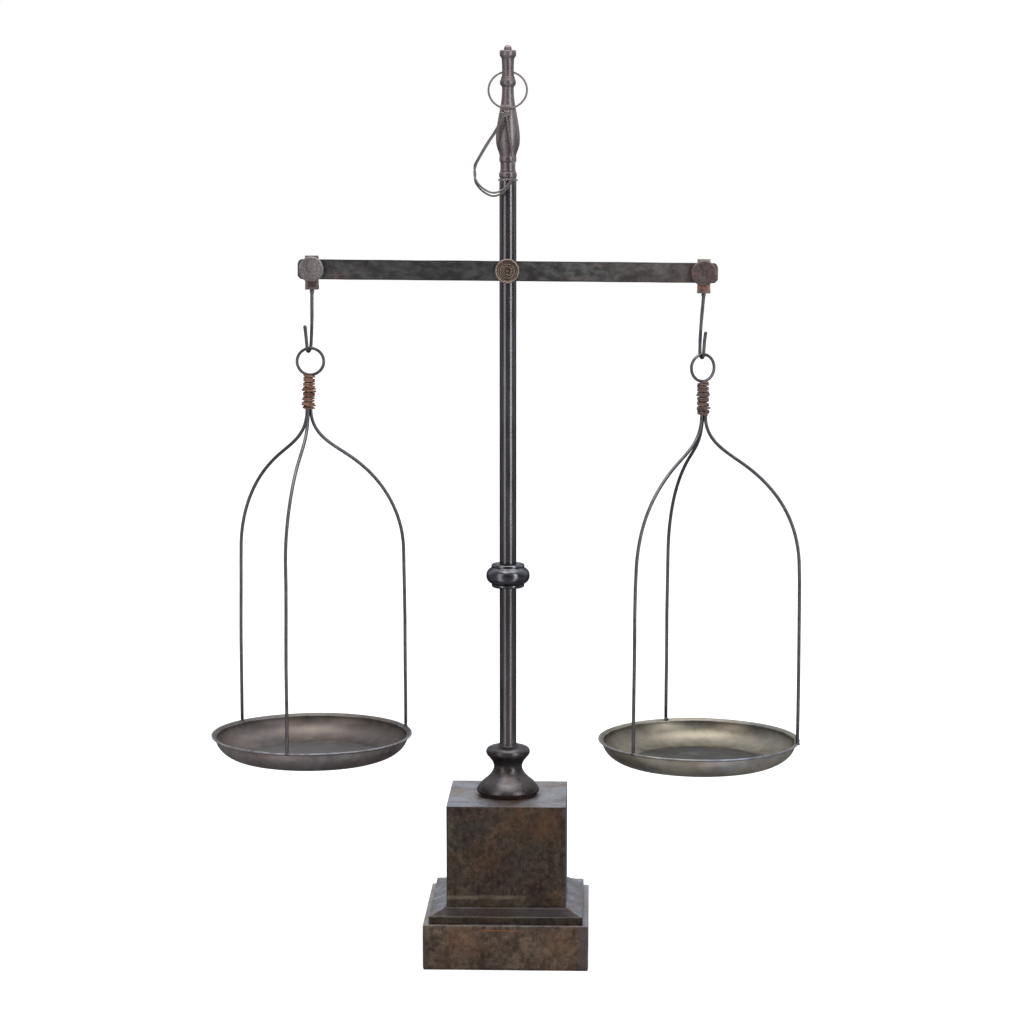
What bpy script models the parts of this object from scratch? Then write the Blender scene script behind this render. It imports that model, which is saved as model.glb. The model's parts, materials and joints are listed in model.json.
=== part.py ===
"""Two-pan balance scale: square stepped base, turned post, pivoting beam and two hanging pans.

Metres, +Z up. The origin is the centre of the base's underside. The beam lies along X and
hangs in front of the post, on its -Y side. Lengths are written in millimetres times MM.
"""

import math

import bmesh
import bpy
from mathutils import Matrix, Vector
from mathutils.geometry import interpolate_bezier

MM = 0.001
GAP = 0.3 * MM                      # left between pieces that touch

# Base
PLINTH_SIDE = 184.0 * MM
PLINTH_TOP = 50.8 * MM
MOULDING_SIDE = 172.0 * MM
MOULDING_TOP = 65.8 * MM
BLOCK_SIDE = 133.4 * MM
BLOCK_TOP = 180.0 * MM
SHEET = 2.0 * MM                    # sheet that the base's boxes are folded from
BALLAST_SIDE = 150.0 * MM
BALLAST_THICK = 10.0 * MM

# Column
POST_RADIUS = 9.525 * MM
POST_BORE = 7.9 * MM
POST_FOOT_TOP = 238.4 * MM
JOINT_HEIGHT = 430.8 * MM           # where the lower and the upper post meet
POST_TOP = 872.0 * MM
ROD_RADIUS = 4.0 * MM
RING_HOLE_HEIGHT = 991.5 * MM

# Beam and its pivot
PIVOT_HEIGHT = 773.0 * MM
BEAM_Y = -17.0 * MM
BEAM_LENGTH = 465.0 * MM
BEAM_HEIGHT = 22.2 * MM
BEAM_THICK = 6.0 * MM
BEAM_REST_TILT = math.radians(0.476)   # the right end rests a little lower
ARM = 216.8 * MM                    # from the pivot to each end pin
BOLT_RADIUS = 3.0 * MM
PIN_RADIUS = 3.0 * MM
SHAFT_CLEARANCE = 0.35 * MM

# Stirrup: the strap loop round each end of the beam, measured from the end pin
STRAP_WIDTH = 14.3 * MM
STRAP_THICK = 1.6 * MM
STRAP_TOP = 15.2 * MM
STRAP_BOTTOM = 22.5 * MM
STRAP_HALF_DEPTH = 5.8 * MM

# Hook
HOOK_WIRE = 1.85 * MM
HOOK_HEAD = 3.6 * MM
HOOK_BEND = 5.6 * MM
HOOK_TIP = 30.0 * MM                # height of the open end over the bend's lowest point
HOOK_DROP = {"left": 93.1 * MM, "right": 95.7 * MM}      # end pin to the hook's underside
HOOK_YAW = {"left": math.radians(-16), "right": math.radians(20)}
HOOK_LEAN = {"left": -4.6 * MM, "right": -1.4 * MM}      # along X, from the shank's top to its bend

# Cage and pan, measured from the end pin and from the lashing's lower end
RING_RADIUS = 14.8 * MM
RING_WIRE = 1.7 * MM
LASHING_LENGTH = 35.7 * MM
LASHING_RADIUS = 6.75 * MM
LASHING_BORE = 4.7 * MM
CAGE_WIRE = 1.9 * MM
CAGE_BUNDLE = 2.45 * MM             # radius of the three wires' centres inside the lashing
CAGE_RADIUS = 110.0 * MM
CAGE_YAW = {"left": math.radians(4), "right": math.radians(30)}
WIRE_AZIMUTH = {"left": math.radians(22), "right": math.radians(-12)}
RIM_DROP = 522.2 * MM
RIM_RADIUS = 113.5 * MM
PAN_MOUTH = 109.0 * MM              # radius where the wall turns out into the lip
PAN_LIP = 2.0 * MM                  # height of the flared lip
PAN_FLOOR = 74.0 * MM
PAN_DEPTH = 27.0 * MM
PAN_SHEET = 1.2 * MM

# Hanging ring and its wire loop
HANGING_RING_RADIUS = 21.15 * MM
HANGING_RING_WIRE = 1.1 * MM
HANGING_RING_LEAN = math.radians(17.5)
LOOP_WIRE = 0.95 * MM
TIE_X = -2.5 * MM

FINISHES = {
    "base_patina": ((0.055, 0.042, 0.032), 0.75, 0.50),
    "post_gunmetal": ((0.050, 0.047, 0.050), 0.85, 0.35),
    "turned_dark": ((0.075, 0.060, 0.056), 0.85, 0.38),
    "pan_brass": ((0.135, 0.115, 0.090), 0.85, 0.40),
    "iron_wire": ((0.060, 0.056, 0.060), 0.80, 0.45),
    "rusty_wire": ((0.180, 0.095, 0.065), 0.35, 0.75),
    "beam_steel": ((0.060, 0.055, 0.048), 0.80, 0.45),
    "disc_brown": ((0.120, 0.095, 0.085), 0.70, 0.50),
    "zinc_steel": ((0.450, 0.450, 0.440), 0.95, 0.40),
}


def clear_scene():
    for item in list(bpy.data.objects):
        bpy.data.objects.remove(item, do_unlink=True)


def finish(name):
    """The shared material of that name."""
    found = bpy.data.materials.get(name)
    if found:
        return found
    colour, metallic, roughness = FINISHES[name]
    material = bpy.data.materials.new(name)
    material.use_nodes = True
    shader = material.node_tree.nodes["Principled BSDF"]
    shader.inputs["Base Color"].default_value = (*colour, 1.0)
    shader.inputs["Metallic"].default_value = metallic
    shader.inputs["Roughness"].default_value = roughness
    return material


def empty(name, location, rotation=(0.0, 0.0, 0.0), parent=None):
    holder = bpy.data.objects.new(name, None)
    bpy.context.collection.objects.link(holder)
    holder.location = location
    holder.rotation_euler = rotation
    holder.parent = parent
    holder.empty_display_size = 0.02
    return holder


def add(name, bm, material, location=(0.0, 0.0, 0.0), rotation=(0.0, 0.0, 0.0), parent=None):
    """Turns bm into a named object with outward faces."""
    bmesh.ops.recalc_face_normals(bm, faces=bm.faces)
    mesh = bpy.data.meshes.new(name)
    bm.to_mesh(mesh)
    bm.free()
    mesh.shade_smooth()
    mesh.set_sharp_from_angle(angle=math.radians(35))
    mesh.materials.append(finish(material))
    made = bpy.data.objects.new(name, mesh)
    bpy.context.collection.objects.link(made)
    made.location = location
    made.rotation_euler = rotation
    made.parent = parent
    return made


def boolean(target, tool, operation="DIFFERENCE"):
    """Cuts tool out of target, or joins it to it, and keeps tool as a hidden guide."""
    tool.hide_render = True
    tool.display_type = "WIRE"
    tool.parent = target.parent
    change = target.modifiers.new(tool.name, "BOOLEAN")
    change.operation = operation
    change.object = tool


def arc(centre, radius, start, end, steps):
    """Points on a circle in a two-number plane, from one angle in degrees to another."""
    points = []
    for step in range(steps + 1):
        angle = math.radians(start + (end - start) * step / steps)
        points.append((centre[0] + radius * math.cos(angle), centre[1] + radius * math.sin(angle)))
    return points


def turn(outline, segments, square=False, closed=False):
    """Spins an outline of (radius, height) round Z. A square one has its flats along X and Y,
    with half its width in place of the radius."""
    bm = bmesh.new()
    stretch = math.sqrt(2.0) if square else 1.0
    corners = [bm.verts.new((radius * stretch, 0.0, height)) for radius, height in outline]
    edges = [bm.edges.new(pair) for pair in zip(corners, corners[1:])]
    if closed:
        edges.append(bm.edges.new((corners[-1], corners[0])))
    bmesh.ops.spin(bm, geom=corners + edges, axis=(0, 0, 1), cent=(0, 0, 0),
                   angle=math.tau, steps=segments, use_merge=True)
    bmesh.ops.remove_doubles(bm, verts=bm.verts, dist=1e-6)
    if square:
        bmesh.ops.rotate(bm, verts=bm.verts, cent=(0, 0, 0),
                         matrix=Matrix.Rotation(math.radians(45), 3, "Z"))
    return bm


def cylinder(radius, bottom, top, segments):
    return turn([(0.0, top), (radius, top), (radius, bottom), (0.0, bottom)], segments)


def washer(outer, inner, bottom, top, segments=20):
    outline = [(inner, top), (outer, top), (outer, bottom), (inner, bottom)]
    return turn(outline, segments, closed=True)


def hex_bore(radius):
    """The corner radius of a six-sided bore that clears a round shaft."""
    return (radius + GAP) / math.cos(math.radians(30))


def along_y(bm):
    """Lays a shape turned round Z down along Y, with its top towards -Y."""
    bmesh.ops.rotate(bm, verts=bm.verts, cent=(0, 0, 0),
                     matrix=Matrix.Rotation(math.radians(90), 3, "X"))
    return bm


def along_x(bm):
    bmesh.ops.rotate(bm, verts=bm.verts, cent=(0, 0, 0),
                     matrix=Matrix.Rotation(math.radians(90), 3, "Y"))
    return bm


def box(width, depth, bottom, top):
    bm = bmesh.new()
    bmesh.ops.create_cube(bm, size=1.0)
    bmesh.ops.scale(bm, vec=(width, depth, top - bottom), verts=bm.verts)
    bmesh.ops.translate(bm, vec=(0.0, 0.0, (top + bottom) / 2), verts=bm.verts)
    return bm


def wire(name, points, radius, material, location=(0.0, 0.0, 0.0), rotation=(0.0, 0.0, 0.0),
         parent=None, sides=8, swell=None):
    """A round wire with flat ends through points. swell scales its radius at each point."""
    curve = bpy.data.curves.new(name, "CURVE")
    curve.dimensions = "3D"
    curve.bevel_depth = radius
    curve.bevel_resolution = (sides - 4) // 2
    curve.use_fill_caps = True
    spline = curve.splines.new("POLY")
    spline.points.add(len(points) - 1)
    for index, place in enumerate(points):
        spline.points[index].co = (*place, 1.0)
        spline.points[index].radius = swell[index] if swell else 1.0
    curve.materials.append(finish(material))
    made = bpy.data.objects.new(name, curve)
    bpy.context.collection.objects.link(made)
    made.location = location
    made.rotation_euler = rotation
    made.parent = parent
    return made


def smooth_path(knots, handles, steps):
    """Points along joined Bezier curves. handles holds one (out, in) pair for each span."""
    path = [Vector(knots[0])]
    for start, end, (leave, arrive) in zip(knots, knots[1:], handles):
        span = interpolate_bezier(Vector(start), Vector(leave), Vector(arrive), Vector(end), steps + 1)
        path.extend(span[1:])
    return path


# ---------------------------------------------------------------- base

def hole_cutter(name, radius, bottom, top):
    return add(name, cylinder(radius, bottom, top, 16), "zinc_steel")


def square_shell(name, outline, wall, material, hole_radius):
    """A folded box, open below, from an outline of (half width, height) that starts at its
    lower edge and ends at its top. The rod's hole is cut in the top."""
    inside = [(half - wall, height) for half, height in outline[:-1]]
    top_height = outline[-1][1]
    inside.append((outline[-1][0] - wall, top_height - wall))
    profile = [(0.0, top_height)] + outline[::-1] + inside + [(0.0, top_height - wall)]
    shell = add(name, turn(profile, 4, square=True), material)
    boolean(shell, hole_cutter(name + "_rod_hole", hole_radius, top_height - 3 * wall,
                               top_height + wall))
    return shell


def build_base():
    rod_hole = ROD_RADIUS + 0.5 * MM
    half = PLINTH_SIDE / 2
    edge = 1.0 * MM
    square_shell("plinth", [(half, 0.0), (half, PLINTH_TOP - edge), (half - edge, PLINTH_TOP)],
                 SHEET, "base_patina", rod_hole)
    cover_side = PLINTH_SIDE - 2 * (SHEET + GAP)
    add("base_cover", box(cover_side, cover_side, 0.0, 3.0 * MM), "base_patina")

    half = MOULDING_SIDE / 2
    foot = PLINTH_TOP + GAP
    moulding = [(half, foot), (half, foot + 7.0 * MM), (half - 1.6 * MM, foot + 8.0 * MM),
                (BLOCK_SIDE / 2 + 2.5 * MM, MOULDING_TOP - 0.8 * MM),
                (BLOCK_SIDE / 2 + 1.5 * MM, MOULDING_TOP)]
    square_shell("base_moulding", moulding, SHEET, "base_patina", rod_hole)

    half = BLOCK_SIDE / 2
    block = [(half, MOULDING_TOP + GAP), (half, BLOCK_TOP - edge), (half - edge, BLOCK_TOP)]
    square_shell("pedestal_block", block, SHEET, "base_patina", rod_hole)

    ballast_top = PLINTH_TOP - SHEET - GAP
    ballast_bottom = ballast_top - BALLAST_THICK
    ballast = add("ballast_plate", box(BALLAST_SIDE, BALLAST_SIDE, ballast_bottom, ballast_top),
                  "zinc_steel")
    boolean(ballast, hole_cutter("ballast_hole", rod_hole, ballast_bottom - SHEET, ballast_top + SHEET))

    washer_top = ballast_bottom - GAP
    washer_bottom = washer_top - 2.2 * MM
    add("tie_washer", washer(12.0 * MM, rod_hole, washer_bottom, washer_top), "zinc_steel")
    nut_top = washer_bottom - GAP
    add("tie_nut", washer(7.5 * MM, hex_bore(ROD_RADIUS), nut_top - 6.5 * MM, nut_top, 6), "zinc_steel")
    add("tie_rod", cylinder(ROD_RADIUS, nut_top - 10.0 * MM, POST_FOOT_TOP + 22.0 * MM, 12),
        "zinc_steel")


# ---------------------------------------------------------------- column

def build_column():
    rod_hole = ROD_RADIUS + 0.5 * MM
    washer_bottom = BLOCK_TOP + GAP
    washer_top = washer_bottom + 2.2 * MM
    add("foot_washer", washer(31.0 * MM, rod_hole, washer_bottom, washer_top, 24), "rusty_wire")

    foot_bottom = washer_top + GAP
    socket = POST_RADIUS + GAP
    socket_floor = POST_FOOT_TOP - 13.0 * MM
    foot = [(socket, POST_FOOT_TOP), (10.6 * MM, POST_FOOT_TOP), (11.5 * MM, 235.6 * MM),
            (18.5 * MM, 235.2 * MM), (23.0 * MM, 232.6 * MM), (24.5 * MM, 229.3 * MM),
            (23.2 * MM, 225.6 * MM), (20.0 * MM, 222.6 * MM), (16.4 * MM, 216.5 * MM),
            (15.5 * MM, 211.8 * MM), (17.6 * MM, 205.5 * MM), (23.0 * MM, 198.6 * MM),
            (30.0 * MM, 192.8 * MM), (34.2 * MM, 188.2 * MM), (35.35 * MM, 185.4 * MM),
            (34.4 * MM, foot_bottom), (rod_hole, foot_bottom), (rod_hole, socket_floor),
            (socket, socket_floor)]
    add("column_foot", turn(foot, 24, closed=True), "turned_dark")

    post_bottom = socket_floor + GAP
    plug_bottom = POST_FOOT_TOP + 2.0 * MM
    add("post_plug", washer(POST_BORE - GAP, rod_hole, plug_bottom, plug_bottom + 18.0 * MM, 16),
        "zinc_steel")
    add("lower_post", washer(POST_RADIUS, POST_BORE, post_bottom, JOINT_HEIGHT - GAP / 2, 24),
        "post_gunmetal")
    add("joint_nipple", washer(POST_BORE - GAP, 5.0 * MM, JOINT_HEIGHT - 26 * MM,
                               JOINT_HEIGHT + 26 * MM, 16), "zinc_steel")
    upper = add("upper_post", washer(POST_RADIUS, POST_BORE, JOINT_HEIGHT + GAP / 2, POST_TOP, 24),
                "post_gunmetal")
    bolt_hole = add("bolt_hole", along_y(cylinder(BOLT_RADIUS + SHAFT_CLEARANCE, -20 * MM, 20 * MM, 16)),
                    "zinc_steel", (0, 0, PIVOT_HEIGHT))
    boolean(upper, bolt_hole)

    bottom, top = 417.2 * MM, 444.4 * MM
    ring_edge = 1.4 * MM
    belly = arc((17.6 * MM, JOINT_HEIGHT), 6.8 * MM, 62, -62, 6)
    collar = [(socket, top), (17.6 * MM, top), (19.35 * MM, top - ring_edge),
              (19.35 * MM, top - 4.6 * MM)]
    collar += belly
    collar += [(19.0 * MM, bottom + 4.6 * MM), (18.6 * MM, bottom + ring_edge), (17.0 * MM, bottom),
               (socket, bottom)]
    add("post_collar", turn(collar, 22, closed=True), "turned_dark")


def build_finial():
    stud_bore = 2.4 * MM
    top = 1015.0 * MM
    bore_floor = top - 10.0 * MM
    spigot = POST_BORE - GAP
    seat = POST_TOP + GAP
    outline = [(0.0, bore_floor), (stud_bore, bore_floor), (stud_bore, top), (8.2 * MM, top),
               (9.15 * MM, 1012.6 * MM), (9.15 * MM, 1009.2 * MM), (8.2 * MM, 1007.0 * MM),
               (6.9 * MM, 1003.3 * MM), (6.6 * MM, 995.0 * MM), (6.6 * MM, 985.6 * MM),
               (7.6 * MM, 984.2 * MM)]
    outline += arc((5.1 * MM, 979.7 * MM), 3.85 * MM, 52, -64, 5)
    outline += [(6.55 * MM, 973.9 * MM), (6.6 * MM, 966.0 * MM), (7.85 * MM, 956.3 * MM),
                (10.0 * MM, 945.0 * MM), (12.0 * MM, 933.7 * MM), (13.1 * MM, 925.0 * MM),
                (13.3 * MM, 918.5 * MM), (12.9 * MM, 912.5 * MM), (11.7 * MM, 907.7 * MM),
                (9.2 * MM, 899.6 * MM), (9.3 * MM, 893.2 * MM), (8.5 * MM, 888.0 * MM),
                (8.6 * MM, 882.4 * MM), (9.95 * MM, 880.0 * MM), (9.95 * MM, 877.0 * MM),
                (9.0 * MM, 875.4 * MM), (11.2 * MM, 873.8 * MM), (11.2 * MM, seat),
                (spigot, seat), (spigot, 852.0 * MM), (0.0, 852.0 * MM)]
    finial = add("finial", turn(outline, 18), "turned_dark")
    cross_hole = add("ring_hole", along_x(cylinder(2.4 * MM, -12 * MM, 12 * MM, 12)), "zinc_steel",
                     (0, 0, RING_HOLE_HEIGHT))
    boolean(finial, cross_hole)

    knob = [(0.0, top + 5.7 * MM)] + arc((0.0, top + 1.4 * MM), 4.3 * MM, 72, -10, 5)
    knob += [(4.0 * MM, top + GAP), (2.0 * MM, top + GAP), (2.0 * MM, bore_floor + GAP),
             (0.0, bore_floor + GAP)]
    add("top_knob", turn(knob, 14), "turned_dark")


# ---------------------------------------------------------------- pivot

def build_pivot():
    """Bolt, boss, spacer, washer and nut. Heights here run towards -Y from the post's axis."""
    place = (0.0, 0.0, PIVOT_HEIGHT)
    bore = BOLT_RADIUS + SHAFT_CLEARANCE
    beam_back = -BEAM_Y - BEAM_THICK / 2
    beam_front = -BEAM_Y + BEAM_THICK / 2
    boss_back = beam_front + GAP
    boss_face = boss_back + 4.4 * MM
    dish = boss_face - 2.2 * MM
    boss = [(bore, boss_face - 0.2 * MM), (3.8 * MM, boss_face - 0.2 * MM),
            (5.8 * MM, boss_face - 0.4 * MM), (6.2 * MM, dish), (7.7 * MM, dish + 0.9 * MM),
            (11.2 * MM, dish + 0.2 * MM), (12.0 * MM, boss_face), (13.1 * MM, boss_face), (13.7 * MM, boss_face - 0.7 * MM),
            (13.7 * MM, boss_back), (bore, boss_back)]
    add("pivot_boss", along_y(turn(boss, 20, closed=True)), "disc_brown", place)

    add("pivot_spacer", along_y(washer(10.0 * MM, bore, POST_RADIUS + GAP, beam_back - GAP)),
        "zinc_steel", place)
    washer_front = -POST_RADIUS - GAP
    washer_back = washer_front - 1.5 * MM
    add("pivot_washer", along_y(washer(8.5 * MM, bore, washer_back, washer_front)), "zinc_steel", place)

    nut_front = washer_back - GAP
    nut_back = nut_front - 10.0 * MM
    thread_end = nut_front - 7.0 * MM
    thread = hex_bore(BOLT_RADIUS)
    nut = [(0.0, thread_end), (thread, thread_end), (thread, nut_front), (6.0 * MM, nut_front),
           (6.0 * MM, nut_front - 5.0 * MM), (4.6 * MM, nut_front - 8.2 * MM), (0.0, nut_back)]
    add("pivot_nut", along_y(turn(nut, 6)), "beam_steel", place)

    bolt = [(0.0, boss_face - 0.4 * MM), (1.6 * MM, boss_face - 0.4 * MM),
            (BOLT_RADIUS, boss_face - 1.8 * MM), (BOLT_RADIUS, thread_end + GAP),
            (0.0, thread_end + GAP)]
    add("pivot_bolt", along_y(turn(bolt, 14)), "beam_steel", place)


# ---------------------------------------------------------------- beam

def build_beam(beam_axis):
    beam = add("beam", box(BEAM_LENGTH, BEAM_THICK, -BEAM_HEIGHT / 2, BEAM_HEIGHT / 2), "beam_steel",
               parent=beam_axis)
    corner_cut = 4.0 * MM
    for end in (-1, 1):
        for side in (-1, 1):
            trim = box(corner_cut * math.sqrt(2), 3 * BEAM_THICK, -corner_cut / math.sqrt(2),
                       corner_cut / math.sqrt(2))
            corner = (end * BEAM_LENGTH / 2, 0.0, side * BEAM_HEIGHT / 2)
            name = "beam_corner_" + ("l" if end < 0 else "r") + ("b" if side < 0 else "t")
            trimmer = add(name, trim, "beam_steel", corner, (0.0, math.radians(45), 0.0))
            boolean(beam, trimmer)
    bush_radius = 5.0 * MM
    pin_bore = PIN_RADIUS + SHAFT_CLEARANCE
    holes = {"centre_hole": (0.0, bush_radius + GAP), "left_pin_hole": (-ARM, pin_bore),
             "right_pin_hole": (ARM, pin_bore)}
    for name, (place, radius) in holes.items():
        cutter = add(name, along_y(cylinder(radius, -BEAM_THICK, BEAM_THICK, 16)), "beam_steel",
                     (place, 0.0, 0.0))
        boolean(beam, cutter)
    add("pivot_bush", along_y(washer(bush_radius, BOLT_RADIUS + SHAFT_CLEARANCE, -BEAM_THICK / 2,
                                     BEAM_THICK / 2, 16)), "pan_brass", parent=beam_axis)

    strap_face = STRAP_HALF_DEPTH + GAP
    head_face = strap_face + 3.0 * MM
    washer_back = -strap_face - 1.5 * MM
    tail = washer_back - GAP
    pin = [(0.0, head_face), (13.2 * MM, head_face), (14.25 * MM, head_face - 0.9 * MM),
           (14.25 * MM, strap_face), (PIN_RADIUS, strap_face), (PIN_RADIUS, tail), (4.8 * MM, tail),
           (4.2 * MM, tail - 1.5 * MM), (0.0, tail - 2.3 * MM)]
    for side, place in (("left", -ARM), ("right", ARM)):
        add(side + "_end_pin", along_y(turn(pin, 24)), "disc_brown", (place, 0.0, 0.0),
            parent=beam_axis)
        add(side + "_pin_washer",
            along_y(washer(8.0 * MM, PIN_RADIUS + SHAFT_CLEARANCE, washer_back, -strap_face)),
            "disc_brown", (place, 0.0, 0.0), parent=beam_axis)


# ---------------------------------------------------------------- stirrups and hooks

def strap_loop(inset):
    """The strap's outline in (depth, height), inset from its outer face, round the end pin."""
    depth = STRAP_HALF_DEPTH - inset
    top = STRAP_TOP - inset
    bottom = -STRAP_BOTTOM + inset
    radius = 2.2 * MM - inset
    corners = ((depth, top, 0), (-depth, top, 90), (-depth, bottom, 180), (depth, bottom, 270))
    outline = []
    for y, z, start in corners:
        centre = (y - math.copysign(radius, y), z - math.copysign(radius, z))
        outline += arc(centre, radius, start, start + 90, 2)
    return outline


def build_stirrup(side, end_axis):
    bm = bmesh.new()
    rings = []
    for x in (-STRAP_WIDTH / 2, STRAP_WIDTH / 2):
        for inset in (0.0, STRAP_THICK):
            rings.append([bm.verts.new((x, y, z)) for y, z in strap_loop(inset)])
    outer_left, inner_left, outer_right, inner_right = rings
    count = len(outer_left)
    for first, second in ((outer_left, inner_left), (inner_left, inner_right),
                          (inner_right, outer_right), (outer_right, outer_left)):
        for index in range(count):
            after = (index + 1) % count
            bm.faces.new((first[index], first[after], second[after], second[index]))
    stirrup = add(side + "_stirrup", bm, "disc_brown", parent=end_axis)
    pin_cut = add(side + "_strap_pin_cut",
                  along_y(cylinder(PIN_RADIUS + SHAFT_CLEARANCE, -10 * MM, 10 * MM, 16)), "disc_brown")
    boolean(stirrup, pin_cut)
    wire_cut = add(side + "_strap_wire_cut",
                   cylinder(HOOK_WIRE + 0.7 * MM, -STRAP_BOTTOM - SHEET, -STRAP_BOTTOM + 2 * SHEET, 12),
                   "disc_brown")
    boolean(stirrup, wire_cut)


def build_hook(side, end_axis):
    """A wire with an upset head inside the stirrup, a leaning shank and an open bend below.
    Heights are measured from the stirrup's underside."""
    turner = empty(side + "_hook_axis", (0.0, 0.0, -STRAP_BOTTOM), parent=end_axis)
    head_bottom = STRAP_THICK + GAP
    head_top = head_bottom + 2.0 * MM
    bend_height = STRAP_BOTTOM - HOOK_DROP[side] + HOOK_WIRE + HOOK_BEND
    path = [(0.0, head_top), (0.0, head_bottom), (0.0, head_bottom - 0.05 * MM), (0.0, -4.0 * MM),
            (0.8 * MM, -16.0 * MM)]
    path += arc((0.0, bend_height), HOOK_BEND, 0, -180, 8)
    path.append((-HOOK_BEND - 0.3 * MM, bend_height + 0.4 * HOOK_TIP))
    path.append((-HOOK_BEND - 1.5 * MM, bend_height + 0.8 * HOOK_TIP))
    points = []
    for depth, height in path:
        lean = HOOK_LEAN[side] * min(1.0, max(0.0, height / (bend_height + HOOK_BEND)))
        points.append((lean - depth * math.sin(HOOK_YAW[side]), depth * math.cos(HOOK_YAW[side]), height))
    swell = [HOOK_HEAD / HOOK_WIRE] * 2 + [1.0] * (len(points) - 2)
    wire(side + "_hook", points, HOOK_WIRE, "iron_wire", parent=turner, swell=swell)


# ---------------------------------------------------------------- cages and pans

def ring_outline(radius, wire_radius, sides):
    turns = arc((radius, 0.0), wire_radius, 0, 360, sides)
    return turns[:-1]


def cage_wire_path(top, drop):
    """(radius, height) along one cage wire, from inside the lashing to the pan's rim. Heights
    are measured from the lashing's lower end."""
    shoulder = Vector((45.0 * MM, -53.0 * MM, 0.0))
    knots = [(CAGE_BUNDLE, 0.0, 0.0), shoulder, (CAGE_RADIUS, -168.0 * MM, 0.0)]
    handles = [((CAGE_BUNDLE, -28.0 * MM, 0.0), (24.0 * MM, -38.8 * MM, 0.0)),
               ((78.0 * MM, -75.3 * MM, 0.0), (CAGE_RADIUS, -112.0 * MM, 0.0))]
    bell = smooth_path(knots, handles, 8)
    path = [(CAGE_BUNDLE, top)] + [(point.x, point.y) for point in bell]
    path.append((CAGE_RADIUS + 1.6 * MM, drop * 0.72))
    path.append((CAGE_RADIUS + 1.5 * MM, drop))
    return path


def pan_outline():
    """(radius, height) round the pan's section, from the rim's top."""
    floor = -PAN_DEPTH

    def wall(inset):
        width = PAN_MOUTH - PAN_FLOOR - inset
        height = PAN_DEPTH - PAN_LIP
        points = []
        for step in range(6):
            angle = math.radians(90 * step / 5)
            points.append((PAN_FLOOR + width * math.cos(angle),
                           -PAN_LIP - (height - inset) * math.sin(angle)))
        return points

    inner = wall(PAN_SHEET)
    outer = wall(0.0)
    outline = [(0.0, floor + PAN_SHEET)] + inner[::-1]
    outline += [(RIM_RADIUS - 1.2 * MM, 0.0), (RIM_RADIUS - 0.2 * MM, 0.0), (RIM_RADIUS, -0.6 * MM),
                (RIM_RADIUS - 0.6 * MM, -1.6 * MM)]
    outline += outer + [(0.0, floor)]
    return outline


def build_cage(side, end_axis):
    """Ring, lashing, three wires and pan, all one hanging body below the hook."""
    hook_inside = -HOOK_DROP[side] + 2 * HOOK_WIRE
    ring_centre = hook_inside + GAP + RING_WIRE - RING_RADIUS
    ring_bottom = ring_centre - RING_RADIUS - RING_WIRE
    axis = empty(side + "_cage_axis", (HOOK_LEAN[side], 0.0, hook_inside), (0.0, 0.0, CAGE_YAW[side]),
                 end_axis)
    add(side + "_ring", along_y(turn(ring_outline(RING_RADIUS, RING_WIRE, 6), 24, closed=True)),
        "iron_wire", (0.0, 0.0, ring_centre - hook_inside), parent=axis)

    lash_top = ring_bottom - GAP
    lash_bottom = lash_top - LASHING_LENGTH
    turns = 8
    pitch = LASHING_LENGTH / turns
    ribs = [(LASHING_BORE, 0.0)]
    for index in range(turns):
        ribs.append((LASHING_RADIUS, -(index + 0.25) * pitch))
        ribs.append((LASHING_RADIUS - 0.7 * MM, -(index + 0.85) * pitch))
    ribs += [(LASHING_BORE, -LASHING_LENGTH)]
    add(side + "_lashing", turn(ribs, 12, closed=True), "rusty_wire", (0.0, 0.0, lash_top - hook_inside),
        parent=axis)

    rim = -RIM_DROP
    for letter, turn_by in zip("abc", (0, 120, 240)):
        azimuth = WIRE_AZIMUTH[side] + math.radians(turn_by)
        holder = empty(f"{side}_wire_{letter}_axis", (HOOK_LEAN[side], 0.0, lash_bottom),
                       (0.0, 0.0, azimuth), end_axis)
        path = cage_wire_path(LASHING_LENGTH - GAP, rim + GAP - lash_bottom)
        points = [(radius, 0.0, height) for radius, height in path]
        wire(f"{side}_cage_wire_{letter}", points, CAGE_WIRE, "iron_wire", parent=holder)
    add(side + "_pan", turn(pan_outline(), 32), "pan_brass", (HOOK_LEAN[side], 0.0, rim), parent=end_axis)


# ---------------------------------------------------------------- hanging ring and loop

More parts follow.
